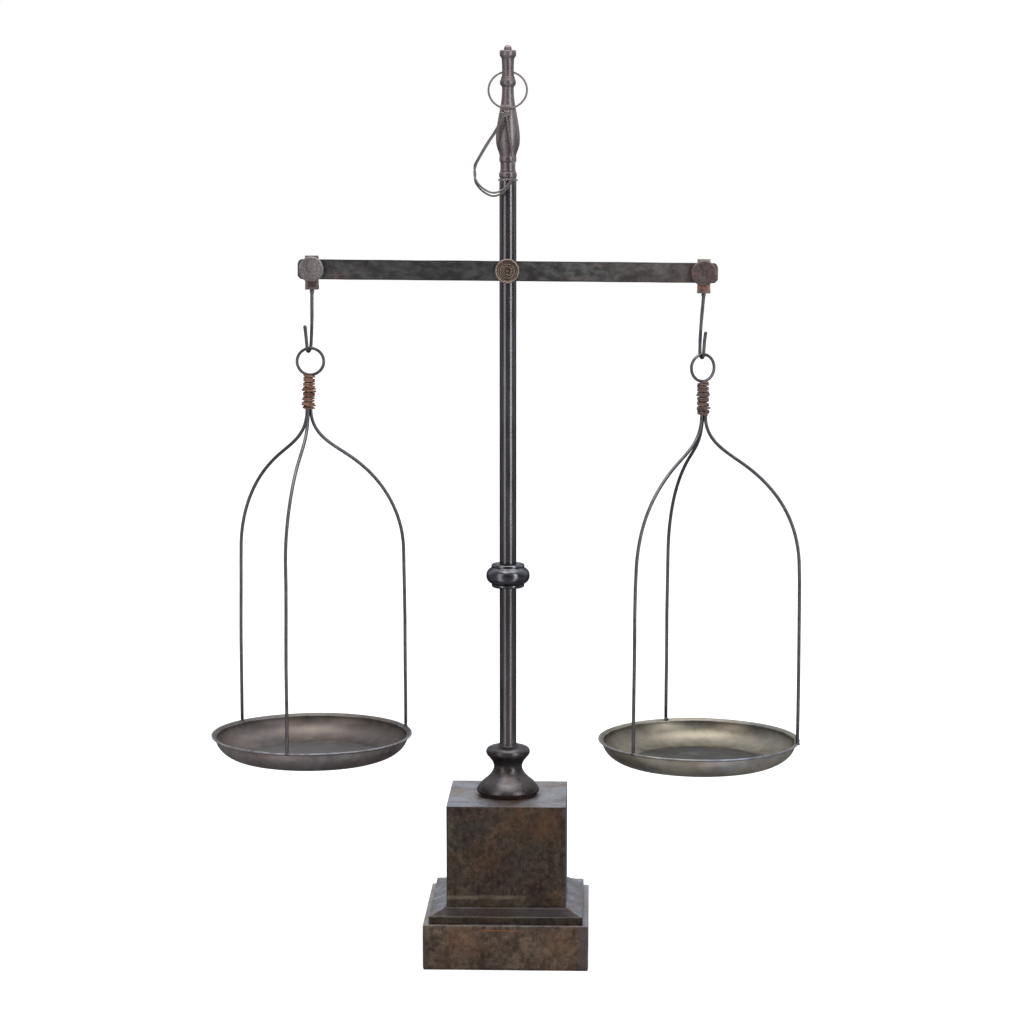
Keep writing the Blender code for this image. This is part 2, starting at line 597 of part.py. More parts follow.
def build_hanging_ring():
    ring_axis = empty("hanging_ring_axis", (0.0, 0.0, RING_HOLE_HEIGHT), (-HANGING_RING_LEAN, 0.0, 0.0))
    section = ring_outline(HANGING_RING_RADIUS, HANGING_RING_WIRE, 6)
    add("hanging_ring", along_y(turn(section, 28, closed=True)), "iron_wire",
        (0.0, 0.0, -HANGING_RING_RADIUS), parent=ring_axis)

    chord = math.asin(TIE_X / HANGING_RING_RADIUS)
    reach = HANGING_RING_RADIUS * (1.0 + math.cos(chord))
    eye = Vector((TIE_X, -reach * math.sin(HANGING_RING_LEAN),
                  RING_HOLE_HEIGHT - reach * math.cos(HANGING_RING_LEAN)))
    holder = empty("loop_axis", eye)
    eye_bore = 1.9 * MM
    eye_half = 2.6 * MM
    tie = add("loop_tie", along_x(washer(3.3 * MM, eye_bore, -eye_half, eye_half, 16)), "rusty_wire",
              parent=holder)
    tie_top = -2.4 * MM
    tie_bottom = -9.6 * MM
    wraps = [(0.0, tie_top)]
    for index in range(3):
        middle = tie_top - (index + 0.5) * (tie_top - tie_bottom) / 3
        wraps += [(4.6 * MM, middle + 1.0 * MM), (5.4 * MM, middle), (4.6 * MM, middle - 1.0 * MM)]
    wraps.append((0.0, tie_bottom))
    barrel = turn(wraps, 12)
    bmesh.ops.scale(barrel, vec=(1.0, 0.5, 1.0), verts=barrel.verts)
    barrel_tool = add("tie_barrel", barrel, "rusty_wire", (0.0, -2.2 * MM, 0.0))
    boolean(tie, barrel_tool, "UNION")
    clear_tool = add("tie_eye_clear", along_x(cylinder(eye_bore, -8 * MM, 8 * MM, 16)), "rusty_wire")
    boolean(tie, clear_tool)

    tie_floor = eye.z + tie_bottom - GAP
    loop = [(-4.3, 0.0), (-32.5, -52.0), (-36.0, -66.0), (-14.3, -86.0), (8.5, -63.0), (5.4, -36.0),
            (-1.0, 0.0)]
    handles = [((-8.0, -20.0), (-27.0, -38.0)), ((-34.5, -57.0), (-36.4, -61.0)),
               ((-34.6, -78.0), (-24.0, -87.5)), ((-2.0, -83.0), (7.4, -74.0)),
               ((9.3, -54.0), (7.4, -44.0)), ((3.2, -26.0), (-0.2, -12.0))]
    for letter, depth in (("front", -4.9 * MM), ("back", -2.4 * MM)):
        knots = [(x * MM, depth, z * MM) for x, z in loop]
        pulls = [tuple((x * MM, depth, z * MM) for x, z in pair) for pair in handles]
        points = smooth_path(knots, pulls, 5)
        offset = tie_floor - eye.z
        placed = [(p.x - TIE_X, p.y, p.z + offset) for p in points]
        wire("loop_turn_" + letter, placed, LOOP_WIRE, "iron_wire", parent=holder, sides=6)


def build_scale():
    clear_scene()
    build_base()
    build_column()
    build_finial()
    build_pivot()
    beam_axis = empty("beam_axis", (0.0, BEAM_Y, PIVOT_HEIGHT), (0.0, BEAM_REST_TILT, 0.0))
    build_beam(beam_axis)
    for side, sign in (("left", -1), ("right", 1)):
        place = (sign * ARM * math.cos(BEAM_REST_TILT), BEAM_Y,
                 PIVOT_HEIGHT - sign * ARM * math.sin(BEAM_REST_TILT))
        end_axis = empty(side + "_end_axis", place)
        build_stirrup(side, end_axis)
        build_hook(side, end_axis)
        build_cage(side, end_axis)
    build_hanging_ring()


build_scale()
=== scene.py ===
"""Looks of a decorative two-pan balance scale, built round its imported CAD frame. Metres, +Z up."""

import json
import math

import bmesh
import bpy
from mathutils import Matrix, Vector, noise
from mathutils.geometry import interpolate_bezier


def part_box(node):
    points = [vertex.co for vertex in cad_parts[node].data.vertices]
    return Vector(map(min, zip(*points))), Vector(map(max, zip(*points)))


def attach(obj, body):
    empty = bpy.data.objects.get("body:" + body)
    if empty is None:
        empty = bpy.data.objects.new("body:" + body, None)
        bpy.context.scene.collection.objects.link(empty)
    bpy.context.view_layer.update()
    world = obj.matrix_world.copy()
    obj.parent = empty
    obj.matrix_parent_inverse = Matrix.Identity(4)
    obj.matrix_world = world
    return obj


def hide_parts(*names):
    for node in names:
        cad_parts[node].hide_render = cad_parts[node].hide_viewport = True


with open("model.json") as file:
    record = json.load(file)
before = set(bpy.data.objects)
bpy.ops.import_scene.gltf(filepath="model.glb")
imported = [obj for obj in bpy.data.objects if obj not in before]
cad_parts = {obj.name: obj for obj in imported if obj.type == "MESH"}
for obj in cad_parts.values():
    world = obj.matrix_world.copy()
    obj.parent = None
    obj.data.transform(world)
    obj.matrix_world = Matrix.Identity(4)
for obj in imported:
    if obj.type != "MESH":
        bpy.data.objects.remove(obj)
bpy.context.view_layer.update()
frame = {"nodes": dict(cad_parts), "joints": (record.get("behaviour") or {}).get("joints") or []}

MM = 0.001
NOISE_SEED = 11                     # fixes every wandering surface from run to run
CAGE_WIRE = 1.88 * MM
LOOP_WIRE = 1.06 * MM
PAN_FLOOR_RADIUS = 74.0
noise.seed_set(NOISE_SEED)
JOINTS = {joint["name"]: Vector(joint["pos_m"]) for joint in frame["joints"]}
PIVOT = JOINTS["beam_tilt"]
PINS = {"left": JOINTS["left_stirrup_swing"], "right": JOINTS["right_stirrup_swing"]}
SWIVELS = {"left": JOINTS["left_hook_swivel"], "right": JOINTS["right_hook_swivel"]}
CAGE_TOPS = {"left": JOINTS["left_cage_swing"], "right": JOINTS["right_cage_swing"]}
RING_HOLE = JOINTS["ring_lift"]
RING_EYE = JOINTS["loop_lift"]
BEAM_SLOPE = math.atan2(PINS["left"].z - PINS["right"].z, PINS["right"].x - PINS["left"].x)


# ---------------------------------------------------------------- mesh helpers

def wander(point, scale, seed):
    """A smooth pseudo-random vector, about -1 to 1 each way, that changes over 1/scale metres."""
    shifted = Vector(point) * scale + Vector((seed * 7.31, seed * 3.77, seed * 5.19))
    return noise.noise_vector(shifted)


def roughen(bm, scale, amount, seed, along=(1.0, 1.0, 1.0)):
    """Moves each vertex by a smooth random offset, scaled along each axis."""
    for vertex in bm.verts:
        shift = wander(vertex.co, scale, seed)
        vertex.co += Vector((shift.x * along[0], shift.y * along[1], shift.z * along[2])) * amount


def mark_wear(mesh):
    """Stores how convex (above 0) or hollow (below 0) the surface is at each vertex."""
    bm = bmesh.new()
    bm.from_mesh(mesh)
    values = []
    for vertex in bm.verts:
        angles = [edge.calc_face_angle_signed(0.0) for edge in vertex.link_edges
                  if len(edge.link_faces) == 2]
        high = max(angles, default=0.0)
        low = min(angles, default=0.0)
        strongest = high if high > -low else low
        values.append(max(-1.0, min(1.0, strongest / 0.5)))
    bm.free()
    store = mesh.attributes.new("wear", "FLOAT", "POINT")
    store.data.foreach_set("value", values)


def make(name, bm, body, nodes, material, sharp=38):
    """Turns bm, which is in world coordinates, into a piece that rides a body."""
    bmesh.ops.remove_doubles(bm, verts=bm.verts, dist=1e-7)
    bmesh.ops.recalc_face_normals(bm, faces=bm.faces)
    mesh = bpy.data.meshes.new(name)
    bm.to_mesh(mesh)
    bm.free()
    mesh.shade_smooth()
    mesh.set_sharp_from_angle(angle=math.radians(sharp))
    mark_wear(mesh)
    mesh.materials.append(material)
    piece = bpy.data.objects.new(name, mesh)
    bpy.context.scene.collection.objects.link(piece)
    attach(piece, body)
    if nodes:
        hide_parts(*nodes)
    return piece


def place(bm, matrix):
    bmesh.ops.transform(bm, matrix=matrix, verts=bm.verts)
    return bm


def merge(bm, other):
    """Adds the faces of other to bm."""
    mesh = bpy.data.meshes.new("part")
    other.to_mesh(mesh)
    other.free()
    bm.from_mesh(mesh)
    bpy.data.meshes.remove(mesh)
    return bm


def arc(centre, radius, start, end, steps):
    points = []
    for step in range(steps + 1):
        angle = math.radians(start + (end - start) * step / steps)
        points.append((centre[0] + radius * math.cos(angle), centre[1] + radius * math.sin(angle)))
    return points


def rounded(corners, steps=3):
    """An outline whose corners (x, y, fillet) are rounded by their fillets, all in millimetres."""
    outline = []
    count = len(corners)
    for index, (x, y, fillet) in enumerate(corners):
        here = Vector((x, y))
        if fillet <= 0.0:
            outline.append(here)
            continue
        before = Vector(corners[index - 1][:2]) - here
        after = Vector(corners[(index + 1) % count][:2]) - here
        reach = min(fillet, before.length * 0.48, after.length * 0.48)
        first = here + before.normalized() * reach
        last = here + after.normalized() * reach
        for step in range(steps + 1):
            t = step / steps
            outline.append(first * (1 - t) ** 2 + here * 2 * t * (1 - t) + last * t * t)
    return [(point.x * MM, point.y * MM) for point in outline]


def curve_through(points, steps):
    """Catmull-Rom points through a list of points of any dimension."""
    vectors = [Vector(point) for point in points]
    padded = [2 * vectors[0] - vectors[1]] + vectors + [2 * vectors[-1] - vectors[-2]]
    path = []
    for index in range(1, len(padded) - 2):
        a, b, c, d = padded[index - 1:index + 3]
        for step in range(steps):
            t = step / steps
            path.append(0.5 * ((2 * b) + (c - a) * t + (2 * a - 5 * b + 4 * c - d) * t ** 2
                               + (3 * b - a - 3 * c + d) * t ** 3))
    path.append(vectors[-1])
    return path


def turned(outline, segments, closed=True):
    """Spins an outline of (radius, height) in metres round Z."""
    bm = bmesh.new()
    rings = []
    for radius, height in outline:
        if radius < 1e-6:
            rings.append([bm.verts.new((0.0, 0.0, height))])
            continue
        ring = []
        for index in range(segments):
            angle = math.tau * index / segments
            ring.append(bm.verts.new((radius * math.cos(angle), radius * math.sin(angle), height)))
        rings.append(ring)
    pairs = list(zip(rings, rings[1:]))
    if closed:
        pairs.append((rings[-1], rings[0]))
    for first, second in pairs:
        if len(first) == 1 and len(second) == 1:
            continue
        for index in range(segments):
            after = (index + 1) % segments
            if len(first) == 1:
                bm.faces.new((first[0], second[index], second[after]))
            elif len(second) == 1:
                bm.faces.new((first[index], second[0], first[after]))
            else:
                bm.faces.new((first[index], second[index], second[after], first[after]))
    return bm


def square_ring(half, fillet, side_steps, corner_steps):
    """Points round a square of half width half, with rounded corners."""
    flat = half - fillet
    points = []
    for quarter in range(4):
        spin = Matrix.Rotation(math.radians(90 * quarter), 2)
        for step in range(side_steps):
            points.append(spin @ Vector((half, -flat + 2 * flat * step / side_steps)))
        for step in range(corner_steps):
            angle = math.radians(90 * step / corner_steps)
            points.append(spin @ Vector((flat + fillet * math.cos(angle), flat + fillet * math.sin(angle))))
    return points


def square_turned(outline, fillet, side_steps=26, corner_steps=4):
    """A square shell from a closed outline of (half width, height)."""
    bm = bmesh.new()
    rings = []
    for half, height in outline:
        corner = min(fillet, half * 0.8)
        rings.append([bm.verts.new((point.x, point.y, height))
                      for point in square_ring(half, corner, side_steps, corner_steps)])
    count = len(rings[0])
    for first, second in zip(rings, rings[1:] + rings[:1]):
        for index in range(count):
            after = (index + 1) % count
            bm.faces.new((first[index], second[index], second[after], first[after]))
    return bm


def spread(outline, gap):
    """The closed outline with points added so that none are further apart than gap."""
    dense = []
    for index, start in enumerate(outline):
        end = outline[(index + 1) % len(outline)]
        length = math.dist(start, end)
        steps = max(1, math.ceil(length / gap))
        for step in range(steps):
            t = step / steps
            dense.append((start[0] + (end[0] - start[0]) * t, start[1] + (end[1] - start[1]) * t))
    return dense


def stitch(bm, first, second):
    """Joins two rings of vertices with quads."""
    count = len(first)
    for index in range(count):
        after = (index + 1) % count
        bm.faces.new((first[index], first[after], second[after], second[index]))


def tube(points, radius, sides=12, seed=0.0, uneven=0.0):
    """A wire along points. radius is a number or one number for each point."""
    path = [Vector(point) for point in points]
    radii = [radius] * len(path) if isinstance(radius, float) else list(radius)
    tangent = (path[1] - path[0]).normalized()
    normal = tangent.orthogonal().normalized()
    stations = []
    for index, point in enumerate(path):
        ahead = path[min(index + 1, len(path) - 1)]
        behind = path[max(index - 1, 0)]
        turned_to = (ahead - behind).normalized()
        normal = (tangent.rotation_difference(turned_to) @ normal).normalized()
        tangent = turned_to
        stations.append((point, tangent.copy(), normal.copy(), radii[index]))
    caps = ((0.0, 0.35), (0.12, 0.62), (0.35, 0.86), (0.65, 0.97))
    point, tangent, normal, size = stations[0]
    head = [(point + tangent * (size * along), tangent, normal, size * share) for along, share in caps]
    stations = head + [s for s in stations if (s[0] - point).length > size * 0.9]
    point, tangent, normal, size = stations[-1]
    tail = [(point - tangent * (size * along), tangent, normal, size * share)
            for along, share in reversed(caps)]
    stations = [s for s in stations if (s[0] - point).length > size * 0.9] + tail
    bm = bmesh.new()
    rings = []
    for point, tangent, normal, size in stations:
        side = tangent.cross(normal)
        grow = 1.0 + uneven * noise.noise(point * 160 + Vector((seed, seed * 2.3, 0.0)))
        ring = []
        for index in range(sides):
            angle = math.tau * index / sides
            outward = normal * math.cos(angle) + side * math.sin(angle)
            ring.append(bm.verts.new(point + outward * size * grow))
        rings.append(ring)
    for first, second in zip(rings, rings[1:]):
        stitch(bm, first, second)
    bm.faces.new(rings[0][::-1])
    bm.faces.new(rings[-1])
    return bm


def blob(centre, size, seed, rough=0.25):
    """A lump of weld metal. size holds its half lengths."""
    bm = bmesh.new()
    bmesh.ops.create_icosphere(bm, subdivisions=3, radius=1.0)
    for vertex in bm.verts:
        vertex.co *= 1.0 + rough * noise.noise(vertex.co * 1.6 + Vector((seed, seed, seed)))
        vertex.co = Vector((vertex.co.x * size[0], vertex.co.y * size[1], vertex.co.z * size[2]))
        vertex.co += Vector(centre)
    return bm


TO_FRONT = Matrix.Rotation(math.radians(90), 4, "X")


# ---------------------------------------------------------------- material helpers

def soft_step(tree, source, span, to):
    """A smooth change from to[0] to to[1] as source crosses span."""
    node = tree.nodes.new("ShaderNodeMapRange")
    node.interpolation_type = "SMOOTHSTEP"
    tree.links.new(source, node.inputs["Value"])
    for label, value in zip(("From Min", "From Max", "To Min", "To Max"), (*span, *to)):
        node.inputs[label].default_value = value
    return node.outputs["Result"]


class Finish:
    """Builds one procedural material on the object's own coordinates."""

    def __init__(self, name):
        self.material = bpy.data.materials.new(name)
        self.material.use_nodes = True
        self.tree = self.material.node_tree
        self.shader = self.tree.nodes["Principled BSDF"]
        self.coords = self.tree.nodes.new("ShaderNodeTexCoord").outputs["Object"]

    def link(self, source, target):
        self.tree.links.new(source, target)

    def value(self, target, source):
        """Sets or links an input."""
        if isinstance(source, bpy.types.NodeSocket):
            self.link(source, target)
        elif isinstance(source, (tuple, list)) and len(source) == 3 and target.type == "RGBA":
            target.default_value = (*source, 1.0)
        else:
            target.default_value = source

    def stretched(self, scale, turn=(0.0, 0.0, 0.0)):
        node = self.tree.nodes.new("ShaderNodeMapping")
        node.inputs["Scale"].default_value = scale
        node.inputs["Rotation"].default_value = turn
        self.link(self.coords, node.inputs["Vector"])
        return node.outputs["Vector"]

    def noise(self, scale, detail=4.0, rough=0.55, vector=None, distortion=0.0):
        node = self.tree.nodes.new("ShaderNodeTexNoise")
        for label, number in (("Scale", scale), ("Detail", detail), ("Roughness", rough),
                              ("Distortion", distortion)):
            node.inputs[label].default_value = number
        self.link(vector or self.coords, node.inputs["Vector"])
        return node.outputs["Fac"]

    def ramp(self, source, low, high, to=(0.0, 1.0)):
        """A soft step from low to high."""
        return soft_step(self.tree, source, (low, high), to)

    def math(self, operation, first, second=0.0):
        node = self.tree.nodes.new("ShaderNodeMath")
        node.operation = operation
        self.value(node.inputs[0], first)
        self.value(node.inputs[1], second)
        return node.outputs["Value"]

    def times(self, first, second):
        return self.math("MULTIPLY", first, second)

    def gained(self, tone, gain):
        """The colour with all its channels multiplied by gain."""
        node = self.tree.nodes.new("ShaderNodeCombineColor")
        for channel in ("Red", "Green", "Blue"):
            self.link(gain, node.inputs[channel])
        return self.mix(1.0, tone, node.outputs["Color"], "MULTIPLY")

    def attribute(self, name):
        node = self.tree.nodes.new("ShaderNodeAttribute")
        node.attribute_name = name
        return node.outputs["Fac"]

    def colours(self, source, stops):
        """A colour band from (position, (r, g, b)) stops."""
        node = self.tree.nodes.new("ShaderNodeValToRGB")
        band = node.color_ramp
        band.elements[0].position, band.elements[0].color = stops[0][0], (*stops[0][1], 1.0)
        band.elements[1].position, band.elements[1].color = stops[-1][0], (*stops[-1][1], 1.0)
        for position, colour in stops[1:-1]:
            band.elements.new(position).color = (*colour, 1.0)
        self.link(source, node.inputs["Fac"])
        return node.outputs["Color"]

    def mix(self, amount, first, second, blend="MIX"):
        node = self.tree.nodes.new("ShaderNodeMix")
        node.data_type = "RGBA"
        node.blend_type = blend
        self.value(node.inputs["Factor"], amount)
        self.value(node.inputs["A"], first)
        self.value(node.inputs["B"], second)
        return node.outputs["Result"]

    def distance(self, spot, axes):
        """The distance from spot along the axes whose share is 1."""
        node = self.tree.nodes.new("ShaderNodeVectorMath")
        node.operation = "DISTANCE"
        self.link(self.stretched(axes), node.inputs[0])
        node.inputs[1].default_value = spot
        return node.outputs["Value"]

    def axis(self, name):
        node = self.tree.nodes.new("ShaderNodeSeparateXYZ")
        self.link(self.coords, node.inputs["Vector"])
        return node.outputs[name]

    def facing(self, name):
        """How far the surface faces along an axis, in the object's own directions."""
        node = self.tree.nodes.new("ShaderNodeTexCoord")
        parts = self.tree.nodes.new("ShaderNodeSeparateXYZ")
        self.link(node.outputs["Normal"], parts.inputs["Vector"])
        return parts.outputs[name]

    def bump(self, height, strength, distance, normal=None):
        node = self.tree.nodes.new("ShaderNodeBump")
        node.inputs["Strength"].default_value = strength
        node.inputs["Distance"].default_value = distance
        self.link(height, node.inputs["Height"])
        if normal is not None:
            self.link(normal, node.inputs["Normal"])
        return node.outputs["Normal"]

    def done(self, colour, roughness, metallic, normal):
        self.value(self.shader.inputs["Base Color"], colour)
        self.value(self.shader.inputs["Roughness"], roughness)
        self.value(self.shader.inputs["Metallic"], metallic)
        self.value(self.shader.inputs["Normal"], normal)
        return self.material


TONE = 0.5                          # how dark the whole object's patina is


def scaled(colour, share):
    return tuple(channel * share for channel in colour)


def patina(name, dark, middle, light, rust, metallic, rough, blotch=30.0, rust_share=0.5,
           speck=(0.30, 0.29, 0.27), speck_share=0.70, stretch=(1.0, 1.0, 1.0), grain=0.12,
           edge=None, edge_share=0.5, pits=0.4, rim_tint=1.0, tooth=0.10):
    """Old metal: blotches of three tones, rust, light specks, a tone on convex edges and a fine grain. The
    edge tone is rubbed metal on most finishes and painted shade on the bar, whose edge tone is dark.
    """
    dark, middle, light, rust, speck = (scaled(tone, TONE)
                                        for tone in (dark, middle, light, rust, speck))
    made = Finish(name)
    made.shader.inputs["Specular Tint"].default_value = (rim_tint, rim_tint, rim_tint, 1.0)
    space = made.stretched(stretch)
    clouds = made.noise(blotch, 7.0, 0.62, space, 0.35)
    tone = made.colours(clouds, [(0.30, dark), (0.50, middle), (0.70, light)])
    fine = made.noise(blotch * 7.0, 5.0, 0.6, space)
    shade = made.ramp(fine, 0.28, 0.72, (1.0 - 2.2 * grain, 1.0 + 2.2 * grain))
    tone = made.gained(tone, shade)

    spots = made.noise(blotch * 1.7, 9.0, 0.68, made.stretched(stretch, (0.4, 1.1, 0.3)), 0.8)
    rusty = made.times(made.ramp(spots, 0.53, 0.70), rust_share)
    tone = made.mix(rusty, tone, rust)
    hollow = made.ramp(made.attribute("wear"), -0.12, -0.75)
    tone = made.mix(made.times(hollow, 0.75), tone, scaled(dark, 0.45))
    dust = made.noise(1500.0, 2.0, 0.5)
    speckled = made.times(made.ramp(dust, speck_share, speck_share + 0.08), 5.5 * tooth)
    tone = made.mix(speckled, tone, speck)
    if edge is not None:
        edge = scaled(edge, TONE)
        edge_wear_and_shade = made.times(made.ramp(made.attribute("wear"), 0.15, 0.8), edge_share)
        edge_wear_and_shade = made.times(edge_wear_and_shade, made.ramp(fine, 0.35, 0.6, (0.35, 1.0)))
        tone = made.mix(edge_wear_and_shade, tone, edge)

    low, high = rough
    rest = made.ramp(fine, 0.25, 0.75, (low, high))
    rest = made.math("ADD", rest, made.times(rusty, 0.22))
    less_metal = made.ramp(rusty, 0.0, 0.9, (metallic, metallic * 0.35))
    normal = made.bump(made.noise(2600.0, 2.0, 0.5), tooth, 0.0002)
    normal = made.bump(made.noise(420.0, 3.0, 0.6), pits * 0.55, 0.0003, normal)
    normal = made.bump(clouds, pits * 0.5, 0.0012, normal)
    return made, tone, rest, less_metal, normal


# ---------------------------------------------------------------- finishes

def base_finish(name, lift=1.0, seam=None, dark_sides=None, purple_side=None, darker_below=None,
                seat=None, rust_spots=(), rust_line=None, painted_front_slope_shade=0.0):
    """Dark bronze sheet: olive-brown with rust and grey-green patches and faint upright streaks.
    Its upward faces carry a mottled pale blue-grey painted reflection of the bright sky above and behind.
    Options add a painted shadow round the foot's seat, painted shade on the forward-facing slope, and
    darkening towards the bottom."""
    made, tone, rest, metal, normal = patina(
        name, scaled((0.092, 0.058, 0.046), lift), scaled((0.158, 0.110, 0.078), lift),
        scaled((0.235, 0.180, 0.120), lift), (0.44, 0.165, 0.060), 0.74, (0.42, 0.58),
        blotch=24.0, rust_share=0.34, edge=(0.34, 0.33, 0.34), edge_share=0.35, grain=0.20, pits=0.5,
        speck=(0.46, 0.40, 0.30), speck_share=0.64)
    shade = TONE * lift
    scratches = made.noise(150.0, 6.0, 0.7, made.stretched((1.0, 1.0, 0.07)))
    tone = made.mix(made.ramp(scratches, 0.50, 0.68, (0.0, 0.36)), tone,
                    scaled((0.048, 0.030, 0.026), shade))
    upright = made.stretched((1.0, 1.0, 0.14), (0.2, 0.1, 0.0))
    pale = made.ramp(made.noise(170.0, 5.0, 0.7, upright), 0.60, 0.74)
    tone = made.mix(made.times(pale, 0.42), tone, scaled((0.38, 0.30, 0.20), shade))
    pores = made.ramp(made.noise(620.0, 3.0, 0.6), 0.36, 0.64, (0.80, 1.20))
    tone = made.gained(tone, pores)
    green = made.noise(14.0, 5.0, 0.6, made.stretched((1.0, 1.0, 0.7), (0.9, 0.2, 1.3)), 0.5)
    tone = made.mix(made.ramp(green, 0.56, 0.72, (0.0, 0.30)), tone, scaled((0.160, 0.165, 0.125), shade))
    orange = made.noise(17.0, 8.0, 0.74, made.stretched((1.0, 1.0, 0.55), (0.3, 1.2, 0.5)), 0.4)
    tone = made.mix(made.ramp(orange, 0.56, 0.72, (0.0, 0.36)), tone, scaled((0.48, 0.225, 0.100), shade))
    for x, z, reach, share in rust_spots:
        away = made.distance((x, 0.0, z), (1.0, 0.0, 1.0))
        ragged = made.times(made.noise(48.0, 7.0, 0.7), 60.0 * MM)
        near = made.ramp(made.math("ADD", away, ragged), reach + 34.0 * MM, 24.0 * MM)
        tone = made.mix(made.times(near, share), tone, scaled((0.46, 0.215, 0.100), shade))
    if rust_line is not None:
        height, left, right = rust_line
        waver = made.times(made.noise(60.0, 3.0, 0.6), 2.4 * MM)
        away = made.math("ABSOLUTE", made.math("SUBTRACT", made.math("ADD", made.axis("Z"), waver), height))
        span = made.times(made.ramp(made.axis("X"), left - 8.0 * MM, left + 4.0 * MM),
                         made.ramp(made.axis("X"), right + 8.0 * MM, right - 4.0 * MM))
        line = made.times(made.ramp(away, 1.5 * MM, 0.2 * MM), span)
        tone = made.mix(made.times(line, 0.55), tone, scaled((0.50, 0.180, 0.075), shade))
    # Darker towards the bottom: below the given height the tone is mixed towards a dark grey-brown, with a
    # ragged upper edge.
    if darker_below is not None:
        ragged = made.times(made.noise(95.0, 5.0, 0.7, made.stretched((1.0, 1.0, 0.25))), 26.0 * MM)
        level = made.math("ADD", made.axis("Z"), ragged)
        tone = made.mix(made.ramp(level, darker_below, darker_below - 6.0 * MM, (0.0, 0.70)), tone,
                        scaled((0.060, 0.046, 0.048), shade))
    if seam is not None:
        height, thick = seam
        waver = made.times(made.noise(26.0, 2.0, 0.5), 5.0 * MM)
        level = made.math("ADD", made.axis("Z"), waver)
        away = made.math("ABSOLUTE", made.math("SUBTRACT", level, height))
        line = made.times(made.ramp(away, thick, thick * 0.25),
                         made.ramp(made.noise(38.0, 3.0, 0.6), 0.36, 0.60, (0.35, 0.85)))
        line = made.times(line, made.ramp(made.axis("X"), 0.030, -0.005))
        tone = made.mix(line, tone, scaled((0.46, 0.40, 0.27), shade))
    if dark_sides is not None:
        half, thick = dark_sides
        away = made.math("SUBTRACT", half, made.math("ABSOLUTE", made.axis("X")))
        tone = made.mix(made.ramp(away, thick, thick * 0.3, (0.0, 0.72)), tone,
                        scaled((0.060, 0.052, 0.058), shade))
    if purple_side is not None:
        start, end = purple_side
        waver = made.times(made.noise(45.0, 4.0, 0.6), 7.0 * MM)
        side = made.ramp(made.math("ADD", made.axis("X"), waver), start, end, (0.0, 0.75))
        tone = made.mix(side, tone, scaled((0.150, 0.108, 0.112), shade))
    # Painted reflection: upward faces are mixed towards a mottled pale blue-grey that stands in for the
    # bright sky they face.
    up = made.ramp(made.facing("Z"), 0.35, 0.9)
    cloud = made.ramp(made.noise(30.0, 7.0, 0.70, None, 0.6), 0.38, 0.62, (0.0, 1.0))
    painted_sky_reflection = made.times(up, cloud)
    tone = made.mix(made.times(painted_sky_reflection, 0.60), tone, (0.185, 0.196, 0.222))
    # Painted shadow: a ragged dark brown halo on the upward faces round where the foot stands.
    if seat is not None:
        x, y, reach = seat
        away = made.distance((x, y, 0.0), (1.0, 1.0, 0.0))
        ragged = made.times(made.noise(60.0, 5.0, 0.7), 22.0 * MM)
        near = made.ramp(made.math("ADD", away, ragged), reach + 18.0 * MM, reach + 4.0 * MM)
        painted_foot_shadow = made.times(made.times(near, up), 0.85)
        tone = made.mix(painted_foot_shadow, tone, (0.075, 0.040, 0.028))
    # Painted shade: faces that look both forward and up, as on the moulding's slope, are darkened where they
    # would reflect the dark room in front.
    if painted_front_slope_shade > 0.0:
        forward = made.ramp(made.facing("Y"), -0.10, -0.28)
        tone = made.mix(made.times(made.times(forward, up), painted_front_slope_shade), tone,
                        (0.040, 0.026, 0.024))
    return made.done(tone, rest, metal, normal)


